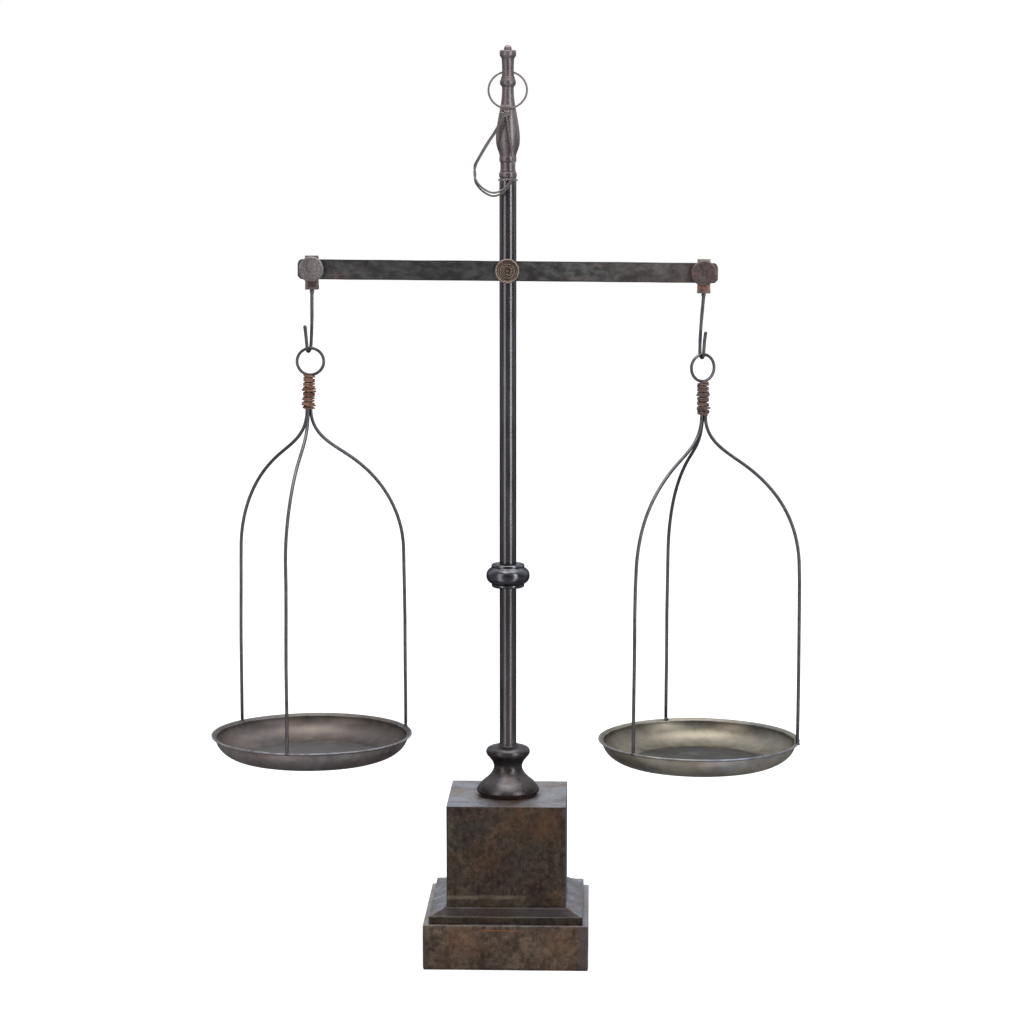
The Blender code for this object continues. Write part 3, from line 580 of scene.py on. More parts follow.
def build_finishes():
    made = {}

    def plain(key, *tones, **options):
        surface, *parts = patina(*tones, **options)
        made[key] = surface.done(*parts)

    made["plinth"] = base_finish("bronze_plinth", 1.85, purple_side=(83.0 * MM, 88.0 * MM),
                                 darker_below=15.0 * MM, rust_line=(46.5 * MM, -25.0 * MM, 12.0 * MM),
                                 rust_spots=((-0.045, 0.037, 0.030, 0.26), (0.062, 0.030, 0.030, 0.22)))
    made["moulding"] = base_finish("bronze_moulding", 0.64, painted_front_slope_shade=0.80)
    made["block"] = base_finish("bronze_block", 0.96, seam=(79.0 * MM, 3.2 * MM),
                                dark_sides=(66.7 * MM, 1.6 * MM), seat=(PIVOT.x, 0.0, 38.0 * MM),
                                rust_spots=((0.043, 0.158, 0.030, 0.42), (0.012, 0.172, 0.020, 0.26),
                                            (-0.020, 0.120, 0.030, 0.16)))
    plain("post", "gunmetal_post", (0.165, 0.148, 0.148), (0.225, 0.208, 0.212), (0.290, 0.278, 0.288),
        (0.30, 0.17, 0.11), 0.92, (0.20, 0.30), blotch=16.0, rust_share=0.26,
        stretch=(1.0, 1.0, 0.22), grain=0.06, speck_share=0.80, edge=(0.35, 0.33, 0.32), pits=0.10,
        rim_tint=0.22, tooth=0.02)
    plain("foot", "dark_foot", (0.104, 0.080, 0.074), (0.146, 0.128, 0.126), (0.195, 0.186, 0.190),
        (0.230, 0.095, 0.055), 0.86, (0.28, 0.40), blotch=34.0, rust_share=0.46,
        stretch=(1.0, 1.0, 1.6), grain=0.08, speck_share=0.78, edge=(0.34, 0.31, 0.30),
        edge_share=0.3, pits=0.22, rim_tint=0.35, tooth=0.03)
    plain("turned", "turned_metal", (0.130, 0.105, 0.100), (0.190, 0.165, 0.162), (0.260, 0.240, 0.245),
        (0.245, 0.120, 0.075), 0.88, (0.28, 0.40), blotch=40.0, rust_share=0.30,
        stretch=(1.0, 1.0, 2.0), grain=0.07, speck_share=0.80, edge=(0.45, 0.40, 0.38),
        edge_share=0.4, pits=0.2, rim_tint=0.25, tooth=0.03)
    plain("collar", "polished_collar", (0.140, 0.130, 0.138), (0.195, 0.188, 0.202), (0.260, 0.256, 0.280),
        (0.235, 0.135, 0.095), 0.92, (0.18, 0.28), blotch=45.0, rust_share=0.25, grain=0.06,
        speck_share=0.80, edge=(0.42, 0.40, 0.42), edge_share=0.3, pits=0.12, rim_tint=0.25, tooth=0.02)
    plain("finial", "finial_metal", (0.285, 0.215, 0.205), (0.385, 0.320, 0.322), (0.480, 0.430, 0.445),
        (0.36, 0.190, 0.130), 0.80, (0.36, 0.48), blotch=30.0, rust_share=0.34,
        stretch=(1.0, 1.0, 0.7), grain=0.06, speck_share=0.82, edge=(0.48, 0.42, 0.40),
        edge_share=0.35, pits=0.08, rim_tint=0.25, tooth=0.015)
    # The bar's dark edge tone is painted shade along its rounded edges, where they turn away from the lamps.
    bar, tone, rest, metal, normal = patina(
        "charcoal_bar", (0.140, 0.132, 0.130), (0.225, 0.215, 0.208), (0.330, 0.318, 0.300),
        (0.33, 0.205, 0.145), 0.85, (0.34, 0.50), blotch=17.0, rust_share=0.42,
        stretch=(0.75, 1.0, 1.2), grain=0.16, speck_share=0.62, speck=(0.72, 0.72, 0.68),
        edge=(0.080, 0.072, 0.070), edge_share=0.75, pits=0.5, rim_tint=0.5, tooth=0.12)
    # Darker over a stretch of the bar centred 55 mm left of the middle.
    darker_left_stretch = bar.ramp(bar.math("ABSOLUTE", bar.math("ADD", bar.axis("X"), 55.0 * MM)), 135.0 * MM, 25.0 * MM,
                     (0.0, 0.55))
    tone = bar.mix(darker_left_stretch, tone, (0.052, 0.052, 0.051))
    ruddy = bar.ramp(bar.axis("X"), 60.0 * MM, 190.0 * MM, (0.0, 0.50))
    tone = bar.mix(ruddy, tone, (0.190, 0.150, 0.132))
    made["beam"] = bar.done(tone, rest, metal, normal)
    plain("disc", "brown_disc", (0.255, 0.210, 0.196), (0.385, 0.335, 0.320), (0.500, 0.448, 0.432),
        (0.42, 0.235, 0.170), 0.70, (0.44, 0.58), blotch=60.0, rust_share=0.36, grain=0.14,
        speck_share=0.74, edge=(0.55, 0.50, 0.48), edge_share=0.4, pits=0.5, rim_tint=0.5)
    plain("disc_rusty", "rusty_disc", (0.165, 0.118, 0.110), (0.245, 0.182, 0.170), (0.340, 0.262, 0.248),
        (0.46, 0.195, 0.115), 0.62, (0.44, 0.62), blotch=60.0, rust_share=0.55, grain=0.15,
        speck_share=0.74, edge=(0.60, 0.50, 0.47), edge_share=0.5, pits=0.6, rim_tint=0.5)
    plain("boss", "brown_boss", (0.185, 0.115, 0.083), (0.320, 0.225, 0.170), (0.470, 0.360, 0.290),
        (0.50, 0.250, 0.150), 0.80, (0.30, 0.44), blotch=90.0, rust_share=0.40, grain=0.12,
        speck_share=0.78, edge=(0.85, 0.70, 0.60), edge_share=0.8, pits=0.4, rim_tint=0.5, tooth=0.06)
    for name, bright in (("dark_strap", 0.62), ("copper_strap", 1.0)):
        strap, tone, rest, metal, normal = patina(
            name, scaled((0.190, 0.130, 0.112), bright),
            scaled((0.300, 0.220, 0.190), bright),
            scaled((0.420, 0.330, 0.295), bright),
            scaled((0.70, 0.290, 0.140), bright), 0.62, (0.42, 0.58), blotch=80.0,
            rust_share=0.45, grain=0.14, speck_share=0.78, edge=(0.50, 0.44, 0.42), edge_share=0.4,
            pits=0.5, rim_tint=0.5, tooth=0.06)
        ragged = strap.times(strap.noise(160.0, 4.0, 0.6), 7.0 * MM)
        level = strap.math("ADD", strap.axis("Z"), ragged)
        below_disc = PINS["right"].z - 14.0 * MM
        patch = strap.times(strap.ramp(level, below_disc - 4.0 * MM, below_disc + 1.0 * MM),
                           strap.ramp(level, below_disc + 12.0 * MM, below_disc + 6.0 * MM))
        tone = strap.mix(strap.times(patch, 0.60 if bright == 1.0 else 0.0), tone,
                         (0.36, 0.150, 0.085))
        made[name] = strap.done(tone, rest, metal, normal)
    plain("iron", "iron_wire", (0.120, 0.110, 0.114), (0.175, 0.162, 0.168), (0.250, 0.238, 0.248),
        (0.27, 0.170, 0.125), 0.85, (0.28, 0.40), blotch=26.0, rust_share=0.36, grain=0.05,
        speck_share=0.84, edge=(0.36, 0.34, 0.34), edge_share=0.25, pits=0.08, rim_tint=0.10,
        tooth=0.015)
    plain("ring", "brown_ring", (0.135, 0.112, 0.108), (0.200, 0.175, 0.172), (0.290, 0.262, 0.260),
        (0.30, 0.190, 0.140), 0.82, (0.28, 0.42), blotch=40.0, rust_share=0.36, grain=0.05,
        speck_share=0.84, edge=(0.36, 0.33, 0.32), edge_share=0.25, pits=0.08, rim_tint=0.12,
        tooth=0.015)
    plain("brown_iron", "brown_wire", (0.215, 0.168, 0.155), (0.320, 0.268, 0.252), (0.430, 0.375, 0.360),
        (0.42, 0.240, 0.165), 0.55, (0.38, 0.52), blotch=50.0, rust_share=0.42, grain=0.06,
        speck_share=0.84, edge=(0.42, 0.38, 0.36), edge_share=0.25, pits=0.08, rim_tint=0.12,
        tooth=0.015)
    plain("rust", "rusty_lashing", (0.260, 0.118, 0.080), (0.430, 0.215, 0.150), (0.580, 0.335, 0.245),
        (0.72, 0.290, 0.155), 0.30, (0.52, 0.70), blotch=60.0, rust_share=0.60, grain=0.12,
        speck_share=0.80, pits=0.4, rim_tint=0.3, tooth=0.04)
    plain("brown_rust", "brown_lashing", (0.190, 0.118, 0.098), (0.315, 0.208, 0.176), (0.440, 0.315, 0.275),
        (0.52, 0.255, 0.170), 0.30, (0.48, 0.66), blotch=60.0, rust_share=0.50, grain=0.12,
        speck_share=0.80, pits=0.4, rim_tint=0.3, tooth=0.04)
    made["pan_left"] = pan_finish(
        "brown_pan", (0.205, 0.162, 0.140), (0.265, 0.220, 0.194), (0.325, 0.282, 0.252),
        (0.285, 0.190, 0.135), (0.42, 0.54), (0.275, 0.255, 0.242), (1.75, 1.80, 1.85), 0.35)
    made["pan_right"] = pan_finish(
        "olive_pan", (0.300, 0.262, 0.200), (0.400, 0.352, 0.270), (0.490, 0.440, 0.345),
        (0.450, 0.320, 0.180), (0.36, 0.46), (0.135, 0.138, 0.148), (1.85, 1.85, 1.95), 0.9)
    plain("gasket", "red_brown_seat", (0.060, 0.030, 0.024), (0.120, 0.056, 0.040), (0.200, 0.100, 0.064),
        (0.30, 0.105, 0.050), 0.20, (0.62, 0.80), blotch=90.0, rust_share=0.55, grain=0.16, pits=0.8)
    plain("zinc", "zinc_steel", (0.80, 0.80, 0.80), (0.95, 0.95, 0.95), (1.0, 1.0, 1.0),
        (0.70, 0.60, 0.46), 0.95, (0.30, 0.44), blotch=60.0, rust_share=0.15, grain=0.08, pits=0.3)
    return made


def pan_finish(name, dark, middle, light, warm, rough, floor, outside, cooling):
    """Spun sheet with a fine satin grain, cloudy toning, a rubbed lip, a floor with its own tone painted in
    as the reflection of the pan's wall, and a downward-facing outside brightened as a painted reflection of
    the bright floor.
    """
    made, tone, rest, metal, normal = patina(
        name, dark, middle, light, warm, 0.88, rough, blotch=14.0, rust_share=0.40,
        grain=0.06, speck_share=0.70, speck=(0.56, 0.52, 0.46), edge=(0.72, 0.73, 0.77),
        edge_share=0.6, pits=0.16, rim_tint=0.35, tooth=0.05)
    painted_floor_reflection = scaled(floor, TONE)
    cool = made.ramp(made.noise(9.0, 3.0, 0.5, made.stretched((1.0, 1.0, 1.0), (0.5, 0.2, 0.9))), 0.46, 0.62)
    shaded = made.mix(1.0, tone, (0.70, 0.76, 0.90), "MULTIPLY")
    tone = made.mix(made.times(cool, cooling), tone, shaded)
    # Painted light: downward-facing outer faces are brightened by the outside factor, standing in for the
    # bright floor they reflect.
    below = made.ramp(made.facing("Z"), 0.05, -0.20)
    tone = made.mix(below, tone, made.mix(1.0, tone, outside, "MULTIPLY"))
    # Painted reflection: the flat floor is mixed towards its own tone, standing in for the pan's wall
    # reflected in it.
    tone = made.mix(made.times(made.attribute("floor"), 0.72), tone, painted_floor_reflection)
    return made.done(tone, rest, metal, normal)


FINISH = build_finishes()


# ---------------------------------------------------------------- base

def sheet_box(name, corners, fillet, node, finish, seed, dent=0.16):
    """A folded square box from its closed section in millimetres."""
    section = spread(rounded(corners, 3), 6.0 * MM)
    bm = square_turned(section, fillet * MM)
    roughen(bm, 16.0, dent * 1.6 * MM, seed, (1.0, 1.0, 0.6))
    roughen(bm, 60.0, dent * 0.5 * MM, seed + 1.0)
    low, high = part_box(node)
    for vertex in bm.verts:
        for index in range(3):
            vertex.co[index] = max(low[index], min(high[index], vertex.co[index]))
    return make(name, bm, "root", [node], finish)


def build_base():
    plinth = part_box("plinth")
    half = plinth[1].x / MM
    top = plinth[1].z / MM
    sheet = 2.0
    sheet_box("plinth_shell", [
        (6.0, top, 0.0), (half, top, 0.9), (half, 2.2, 0.5), (half - 0.5, 1.6, 0.3),
        (half - 0.5, 0.0, 0.2), (half - sheet, 0.0, 0.2), (half - sheet, top - sheet, 0.0),
        (6.0, top - sheet, 0.0)], 1.1, "plinth", FINISH["plinth"], 3.0)
    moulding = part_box("base_moulding")
    half = moulding[1].x / MM
    foot = moulding[0].z / MM - 0.25
    top = moulding[1].z / MM
    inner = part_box("pedestal_block")[1].x / MM
    sheet_box("moulding_shell", [
        (6.0, top, 0.0), (inner + 1.4, top, 0.5), (inner + 2.8, top - 0.5, 0.5),
        (inner + 3.2, top - 1.4, 0.4), (half - 2.6, foot + 8.4, 0.8), (half - 0.9, foot + 8.7, 0.6),
        (half, foot + 7.7, 0.7), (half, foot + 0.7, 0.5), (half - 1.0, foot, 0.3),
        (half - 3.0, foot, 0.3), (half - 3.0, foot + 6.4, 0.3), (inner, top - 2.0, 0.3),
        (6.0, top - 2.0, 0.0)], 1.0, "base_moulding", FINISH["moulding"], 8.0, 0.22)
    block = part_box("pedestal_block")
    half = block[1].x / MM
    foot = block[0].z / MM - 0.1
    top = block[1].z / MM
    sheet_box("pedestal_shell", [
        (6.0, top, 0.0), (half, top, 0.9), (half, foot, 0.3), (half - sheet, foot, 0.3),
        (half - sheet, top - sheet, 0.3), (6.0, top - sheet, 0.0)], 0.9, "pedestal_block",
        FINISH["block"], 14.0)

    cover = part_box("base_cover")
    cover_half = cover[1].x / MM - 0.1
    cover_top = cover[1].z / MM
    panel = square_turned(spread(rounded([
        (0.5, cover_top, 0.0), (cover_half, cover_top, 0.5), (cover_half, 0.05, 0.5),
        (0.5, 0.05, 0.0)], 2), 12.0 * MM), 2.0 * MM, 14, 3)
    merge(panel, blob((0.0, 0.0, cover_top * MM / 2), (1.4 * MM, 1.4 * MM, cover_top * MM / 2.2), 2.0, 0.0))
    make("base_panel", panel, "root", ["base_cover"], FINISH["moulding"])


# ---------------------------------------------------------------- column

def lathe(name, corners, segments, body, node, finish, matrix=None, closed=True, uneven=0.0,
          seed=1.0):
    """A turned piece from its closed section (radius, height, fillet) in millimetres."""
    bm = turned(rounded(corners), segments, closed)
    if uneven:
        roughen(bm, 60.0, uneven * MM, seed)
    if matrix is not None:
        place(bm, matrix)
    return make(name, bm, body, [node], finish)


def below(top, corners):
    """Corners (radius, depth, ...) as (radius, height, ...), with depths counted down from top."""
    return [(radius, top - depth, *fillet) for radius, depth, *fillet in corners]


def heights(node):
    """A node's bottom and top in millimetres."""
    low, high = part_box(node)
    return low.z / MM, high.z / MM


def depths(node, origin=0.0):
    """How far a node's front and back stand before origin, towards -Y, in millimetres."""
    low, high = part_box(node)
    return (origin - low.y) / MM, (origin - high.y) / MM


def smooth_part(points, steps=5):
    """Corners with no fillet along a smooth curve through (radius, height) points."""
    return [(point.x, point.y, 0.0) for point in curve_through(points, steps)]


def build_column():
    low, high = heights("foot_washer")
    lathe("foot_seat", [(6.0, high, 0.0), (30.4, high, 0.5), (31.6, low, 0.3), (6.0, low, 0.0)], 72,
          "root", "foot_washer", FINISH["gasket"], uneven=0.5, seed=5.0)

    bottom, top = heights("column_foot")
    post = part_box("upper_post")[1].x / MM
    profile = [(post + 0.05, top, 0.0), (10.5, top, 0.5)]
    profile += below(top, [(10.9, 1.6, 0.8), (12.2, 2.9, 0.8), (17.6, 2.9, 0.8)])
    profile += smooth_part(below(top, [
        (18.8, 3.2), (22.0, 4.4), (24.3, 6.7), (24.9, 9.3), (23.9, 12.6), (21.2, 15.8), (18.0, 20.0),
        (16.2, 24.4), (16.3, 28.4), (18.3, 33.0), (23.2, 38.6), (29.2, 43.6), (33.2, 48.2), (35.2, 51.6),
        (35.5, 53.6)]), 4)
    profile += [(34.3, bottom, 0.3), (6.0, bottom, 0.0), (6.0, top - 13.0, 0.0),
                (post + 0.05, top - 13.0, 0.0)]
    lathe("turned_foot", profile, 112, "root", "column_foot", FINISH["foot"])

    for name, node in (("post_below", "lower_post"), ("post_above", "upper_post")):
        low, high = heights(node)
        bore = 7.9
        levels = [low + (high - low) * step / 60 for step in range(61)]
        section = [(post, level, 0.0) for level in levels[::-1]]
        section += [(bore, level, 0.0) for level in (low, high)]
        bm = turned(rounded(section), 64)
        for vertex in bm.verts:
            if vertex.co.xy.length > 9.0 * MM:
                grow = 1.0 - 0.006 + 0.006 * noise.noise(Vector((0.0, 0.0, vertex.co.z * 9.0)))
                vertex.co.x *= grow
                vertex.co.y *= grow
        make(name, bm, "root", [node], FINISH["post"])

    low, high = heights("post_collar")
    middle = (low + high) / 2
    profile = [(post + 0.05, high, 0.0), (16.6, high, 0.7), (18.6, high - 1.0, 1.2), (18.8, high - 3.2, 0.9),
               (18.4, high - 4.0, 0.5)]
    profile += smooth_part([(19.4, high - 4.8), (22.2, high - 7.0), (24.0, middle + 3.4), (24.35, middle),
                            (24.0, middle - 3.4), (22.2, low + 7.0), (19.4, low + 4.8)], 5)
    profile += [(18.2, low + 4.0, 0.5), (18.5, low + 3.0, 0.9),
                (18.2, low + 1.0, 1.2), (16.2, low, 0.7), (post + 0.05, low, 0.0)]
    lathe("turned_collar", profile, 96, "root", "post_collar", FINISH["collar"])


def build_finial():
    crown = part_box("finial")[1].z / MM
    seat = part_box("upper_post")[1].z / MM
    profile = below(crown, [(0.0, 0.6, 0.0), (4.6, 0.6, 0.4), (6.4, 0.1, 0.6), (8.6, 0.3, 0.7),
                            (9.15, 2.4, 0.5), (9.15, 5.9, 0.8), (7.9, 7.9, 0.9), (7.1, 9.0, 0.8)])
    profile += smooth_part(below(crown, [
        (6.85, 12.0), (6.6, 17.0), (6.5, 23.0), (6.7, 28.0), (7.0, 29.2)]), 4)
    profile += below(crown, [(7.6, 29.8, 0.3), (7.5, 31.0, 0.3)])
    profile += smooth_part(below(crown, [
        (8.2, 32.2), (8.85, 34.2), (8.95, 35.6), (8.6, 37.4), (7.6, 39.0)]), 4)
    profile += below(crown, [(6.7, 39.8, 0.4)])
    profile += smooth_part(below(crown, [
        (6.5, 41.2), (6.6, 47.0), (7.1, 53.0), (7.9, 58.7), (9.1, 65.5), (10.5, 73.0), (11.9, 81.3),
        (12.9, 89.5), (13.3, 96.5), (12.9, 102.6), (11.6, 107.6), (9.9, 112.6), (9.0, 115.6)]), 4)
    profile += below(crown, [(9.4, 116.2, 0.4), (9.5, 118.8, 0.5), (9.4, 121.6, 0.5), (8.5, 122.4, 0.5)])
    profile += smooth_part(below(crown, [(8.35, 124.6), (8.3, 128.8), (8.7, 132.8)]), 3)
    profile += below(crown, [(9.8, 134.6, 0.7), (9.95, 136.6, 0.8), (9.7, 138.6, 0.6), (8.9, 139.6, 0.4),
                             (9.3, 140.6, 0.4), (11.1, 141.4, 0.5)])
    profile += [(11.2, seat + 0.1, 0.3), (7.4, seat + 0.1, 0.2), (7.4, seat - 19.0, 0.4),
                (0.0, seat - 19.0, 0.0)]
    lathe("turned_finial", profile, 72, "root", "finial", FINISH["finial"], closed=False,
          uneven=0.10, seed=4.0)
    knob = [(point[0] / MM, point[1] / MM, 0.0)
            for point in arc((0.0, (crown + 1.2) * MM), 4.25 * MM, 90, -8, 12)]
    knob[0] = (0.0, knob[0][1], 0.0)
    knob += [(3.4, crown - 0.9, 0.3), (3.0, crown - 2.0, 0.0), (0.0, crown - 2.0, 0.0)]
    lathe("crown_knob", knob, 40, "root", "top_knob", FINISH["finial"], closed=False,
          uneven=0.22, seed=9.0)


# ---------------------------------------------------------------- pivot and beam

NUT_STEPS = 48                      # points round the domed nut


def build_pivot():
    """Turned about the pivot's axis. Heights run towards -Y from the post's axis."""
    at_pivot = Matrix.Translation((0.0, 0.0, PIVOT.z)) @ TO_FRONT
    face, back = depths("pivot_boss")
    bore = 3.2
    profile = [(bore, face - 0.5, 0.3), (4.2, face - 0.3, 0.3), (5.6, face - 0.35, 0.4),
               (6.1, face - 1.7, 0.4), (6.9, face - 1.9, 0.3), (7.4, face - 1.1, 0.4),
               (8.2, face - 1.3, 0.4), (8.9, face - 2.1, 0.5), (11.0, face - 1.5, 0.8),
               (11.7, face - 0.1, 0.5), (12.8, face, 0.5), (13.6, face - 0.8, 0.5),
               (13.6, back + 0.4, 0.3), (13.0, back, 0.3), (bore, back, 0.0)]
    lathe("boss_rosette", profile, 96, "root", "pivot_boss", FINISH["boss"], matrix=at_pivot,
          uneven=0.16, seed=2.0)

    tip, tail = depths("pivot_bolt")
    profile = [(0.0, tip - 0.5, 0.0), (1.3, tip - 0.4, 0.3), (1.9, tip - 0.9, 0.3), (2.3, tip - 1.6, 0.4),
               (2.9, tip - 1.9, 0.3), (2.9, tail, 0.2), (0.0, tail, 0.0)]
    lathe("bolt_shank", profile, 36, "root", "pivot_bolt", FINISH["brown_iron"],
          matrix=at_pivot, closed=False)

    for name, node, outer, inner in (("pivot_sleeve", "pivot_spacer", 10.0, 3.35),
                                     ("bolt_washer", "pivot_washer", 8.5, 3.35)):
        high, low = depths(node)
        lathe(name, [(inner, high, 0.2), (outer, high, 0.4), (outer, low, 0.4), (inner, low, 0.2)], 56,
              "root", node, FINISH["turned"], matrix=at_pivot, uneven=0.06, seed=6.0)

    front = depths("pivot_nut")[0]
    bm = bmesh.new()
    levels = [(6.0, front), (6.0, front - 5.0)] + [
        (5.6 * math.cos(math.radians(a)), front - 5.2 - 4.6 * math.sin(math.radians(a)))
        for a in (5, 20, 35, 50, 65, 80)]
    rings = []
    for index, (radius, level) in enumerate(levels):
        ring = []
        for step in range(NUT_STEPS):
            angle = math.tau * step / NUT_STEPS
            reach = radius
            if index < 2:
                off = (angle + math.pi / 6) % (math.pi / 3) - math.pi / 6
                reach = min(radius * math.cos(math.pi / 6) / math.cos(off), radius * 0.985)
            ring.append(bm.verts.new((reach * math.cos(angle) * MM, reach * math.sin(angle) * MM,
                                      level * MM)))
        rings.append(ring)
    for first, second in zip(rings, rings[1:]):
        stitch(bm, first, second)
    bm.faces.new(rings[0])
    bm.faces.new(rings[-1])
    place(bm, at_pivot)
    make("dome_nut", bm, "root", ["pivot_nut"], FINISH["beam"], 30)


def bar_section(half_depth, low, high, fillet):
    """Points round the bar's section in (depth, height)."""
    points = []
    for y, z, start in ((half_depth, high, 0), (-half_depth, high, 90), (-half_depth, low, 180),
                        (half_depth, low, 270)):
        centre = (y - math.copysign(fillet, y), z - (fillet if z == high else -fillet))
        points += arc(centre, fillet, start, start + 90, 3)
    dense = []
    for index, here in enumerate(points):
        after = points[(index + 1) % len(points)]
        steps = max(1, round(math.dist(here, after) / (3.2 * MM)))
        for step in range(steps):
            t = step / steps
            dense.append((here[0] + (after[0] - here[0]) * t, here[1] + (after[1] - here[1]) * t))
    return dense


BAR_POINTS = 36                     # points round the bar's section


def build_beam():
    tilt = Matrix.Translation(PIVOT) @ Matrix.Rotation(BEAM_SLOPE, 4, "Y")
    half_long = 232.4
    half_high = 11.05
    half_deep = 2.95
    top_round = 5.2
    chamfer = 3.6
    inner = half_long - 6.0
    stations = [-inner + 2 * inner * step / 110 for step in range(111)]
    end = [6.0 - 6.0 * math.cos(math.radians(angle)) for angle in (12, 26, 40, 54, 68, 80, 90)]
    ends = sorted(set(round(half_long - 6.0 + value, 3) for value in end))
    stations = [-x for x in reversed(ends)] + stations + ends
    bm = bmesh.new()
    loops = []
    for x in stations:
        into = half_long - abs(x)
        drop = 0.0
        if into < top_round:
            drop = top_round - math.sqrt(max(0.0, top_round ** 2 - (top_round - into) ** 2))
        lift = max(0.0, chamfer - into)
        inset = 0.5 - math.sqrt(max(0.0, 0.25 - (0.5 - into) ** 2)) if into < 0.5 else 0.0
        section = bar_section((half_deep - inset) * MM, (-half_high + lift) * MM,
                              (half_high - drop) * MM, 0.55 * MM)
        loops.append([bm.verts.new((x * MM, y, z)) for y, z in resample(section, BAR_POINTS)])
    for first, second in zip(loops, loops[1:]):
        stitch(bm, first, second)
    bm.faces.new(loops[0])
    bm.faces.new(loops[-1])
    roughen(bm, 22.0, 0.22 * MM, 6.0, (0.0, 0.35, 1.0))
    roughen(bm, 90.0, 0.10 * MM, 7.0, (0.3, 0.6, 1.0))
    place(bm, tilt)
    make("scale_bar", bm, "beam", ["beam"], FINISH["beam"])

    for side, sign in (("left", -1), ("right", 1)):
        at_pin = Matrix.Translation(PINS[side]) @ Matrix.Rotation(BEAM_SLOPE, 4, "Y") @ TO_FRONT
        face, tail = depths(side + "_end_pin", PINS[side].y)
        front, washer_back = depths(side + "_pin_washer", PINS[side].y)
        strap = depths(side + "_stirrup", PINS[side].y)[0] + 0.3
        profile = [(0.0, face - 0.5, 0.0), (5.0, face - 0.35, 0.0), (10.0, face - 0.15, 0.0),
                   (12.9, face - 0.1, 0.6), (14.15, face - 1.1, 0.8), (14.0, strap + 0.3, 0.3),
                   (13.6, strap, 0.3), (3.0, strap, 0.0), (3.0, washer_back - 0.3, 0.0),
                   (4.7, washer_back - 0.3, 0.2), (4.2, tail + 0.9, 0.6), (2.6, tail, 0.6), (0.0, tail, 0.0)]
        finish = FINISH["disc"] if side == "left" else FINISH["disc_rusty"]
        lathe(side + "_pin_disc", profile, 84, "beam", side + "_end_pin", finish,
              matrix=at_pin, closed=False, uneven=0.34, seed=11.0 + sign)
        lathe(side + "_rear_washer", [(3.35, front, 0.2), (8.0, front, 0.3), (8.0, washer_back, 0.3),
                                      (3.35, washer_back, 0.2)], 48, "beam", side + "_pin_washer",
              finish, matrix=at_pin, uneven=0.05)


def resample(loop, count):
    """The same closed loop with count points, equally spaced from its first one."""
    lengths = [math.dist(a, b) for a, b in zip(loop, loop[1:] + loop[:1])]
    total = sum(lengths)
    points = []
    index = 0
    walked = 0.0
    for step in range(count):
        goal = total * step / count
        while walked + lengths[index] < goal:
            walked += lengths[index]
            index += 1
        t = (goal - walked) / lengths[index] if lengths[index] else 0.0
        here, after = loop[index], loop[(index + 1) % len(loop)]
        points.append((here[0] + (after[0] - here[0]) * t, here[1] + (after[1] - here[1]) * t))
    return points


# ---------------------------------------------------------------- stirrups, hooks and rings

def build_stirrup(side):
    """A strap bent round the bar's end, with a pressed foot that the hook hangs from."""
    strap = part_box(side + "_stirrup")
    pin = PINS[side]
    half_wide = 7.0
    thick = 1.6
    deep = (pin.y - strap[0].y) / MM - 0.05
    top = (strap[1].z - pin.z) / MM - 0.05
    bottom = (pin.z - strap[0].z) / MM - 0.05
    corners = [(deep, top, 1.8), (-deep, top, 1.8), (-deep, -bottom, 1.8), (deep, -bottom, 1.8)]
    outer = resample(spread(rounded(corners, 4), 3.0 * MM), 48)
    inner_corners = [(deep - thick, top - thick, 0.9), (-deep + thick, top - thick, 0.9),
                     (-deep + thick, -bottom + thick, 0.9), (deep - thick, -bottom + thick, 0.9)]
    inner = resample(spread(rounded(inner_corners, 4), 3.0 * MM), 48)
    bm = bmesh.new()
    edge = 0.35
    outside = []
    inside = []
    for x, grow in ((-half_wide, -edge), (-half_wide + edge, 0.0), (-half_wide / 3, 0.0),
                    (half_wide / 3, 0.0), (half_wide - edge, 0.0), (half_wide, -edge)):
        shrink = 1.0 + grow / deep / 2
        lower = 1.0 + grow / top / 4
        outside.append([bm.verts.new((x * MM, y * shrink, z * lower)) for y, z in outer])
        inside.append([bm.verts.new((x * MM, y, z)) for y, z in inner])
    for first, second in zip(outside, outside[1:]):
        stitch(bm, first, second)
    for first, second in zip(inside, inside[1:]):
        stitch(bm, second, first)
    stitch(bm, inside[0], outside[0])
    stitch(bm, outside[-1], inside[-1])
    for vertex in bm.verts:
        if vertex.co.z < -(bottom - 4.5) * MM:
            share = min(1.0, (-(bottom - 4.5) * MM - vertex.co.z) / (2.2 * MM))
            vertex.co.x *= 1.0 + 0.035 * share
    roughen(bm, 120.0, 0.16 * MM, 3.0 if side == "left" else 5.0, (1.0, 0.4, 1.0))
    place(bm, Matrix.Translation(pin))
    make(side + "_strap", bm, side + "_stirrup", [side + "_stirrup"],
         FINISH["dark_strap" if side == "left" else "copper_strap"])


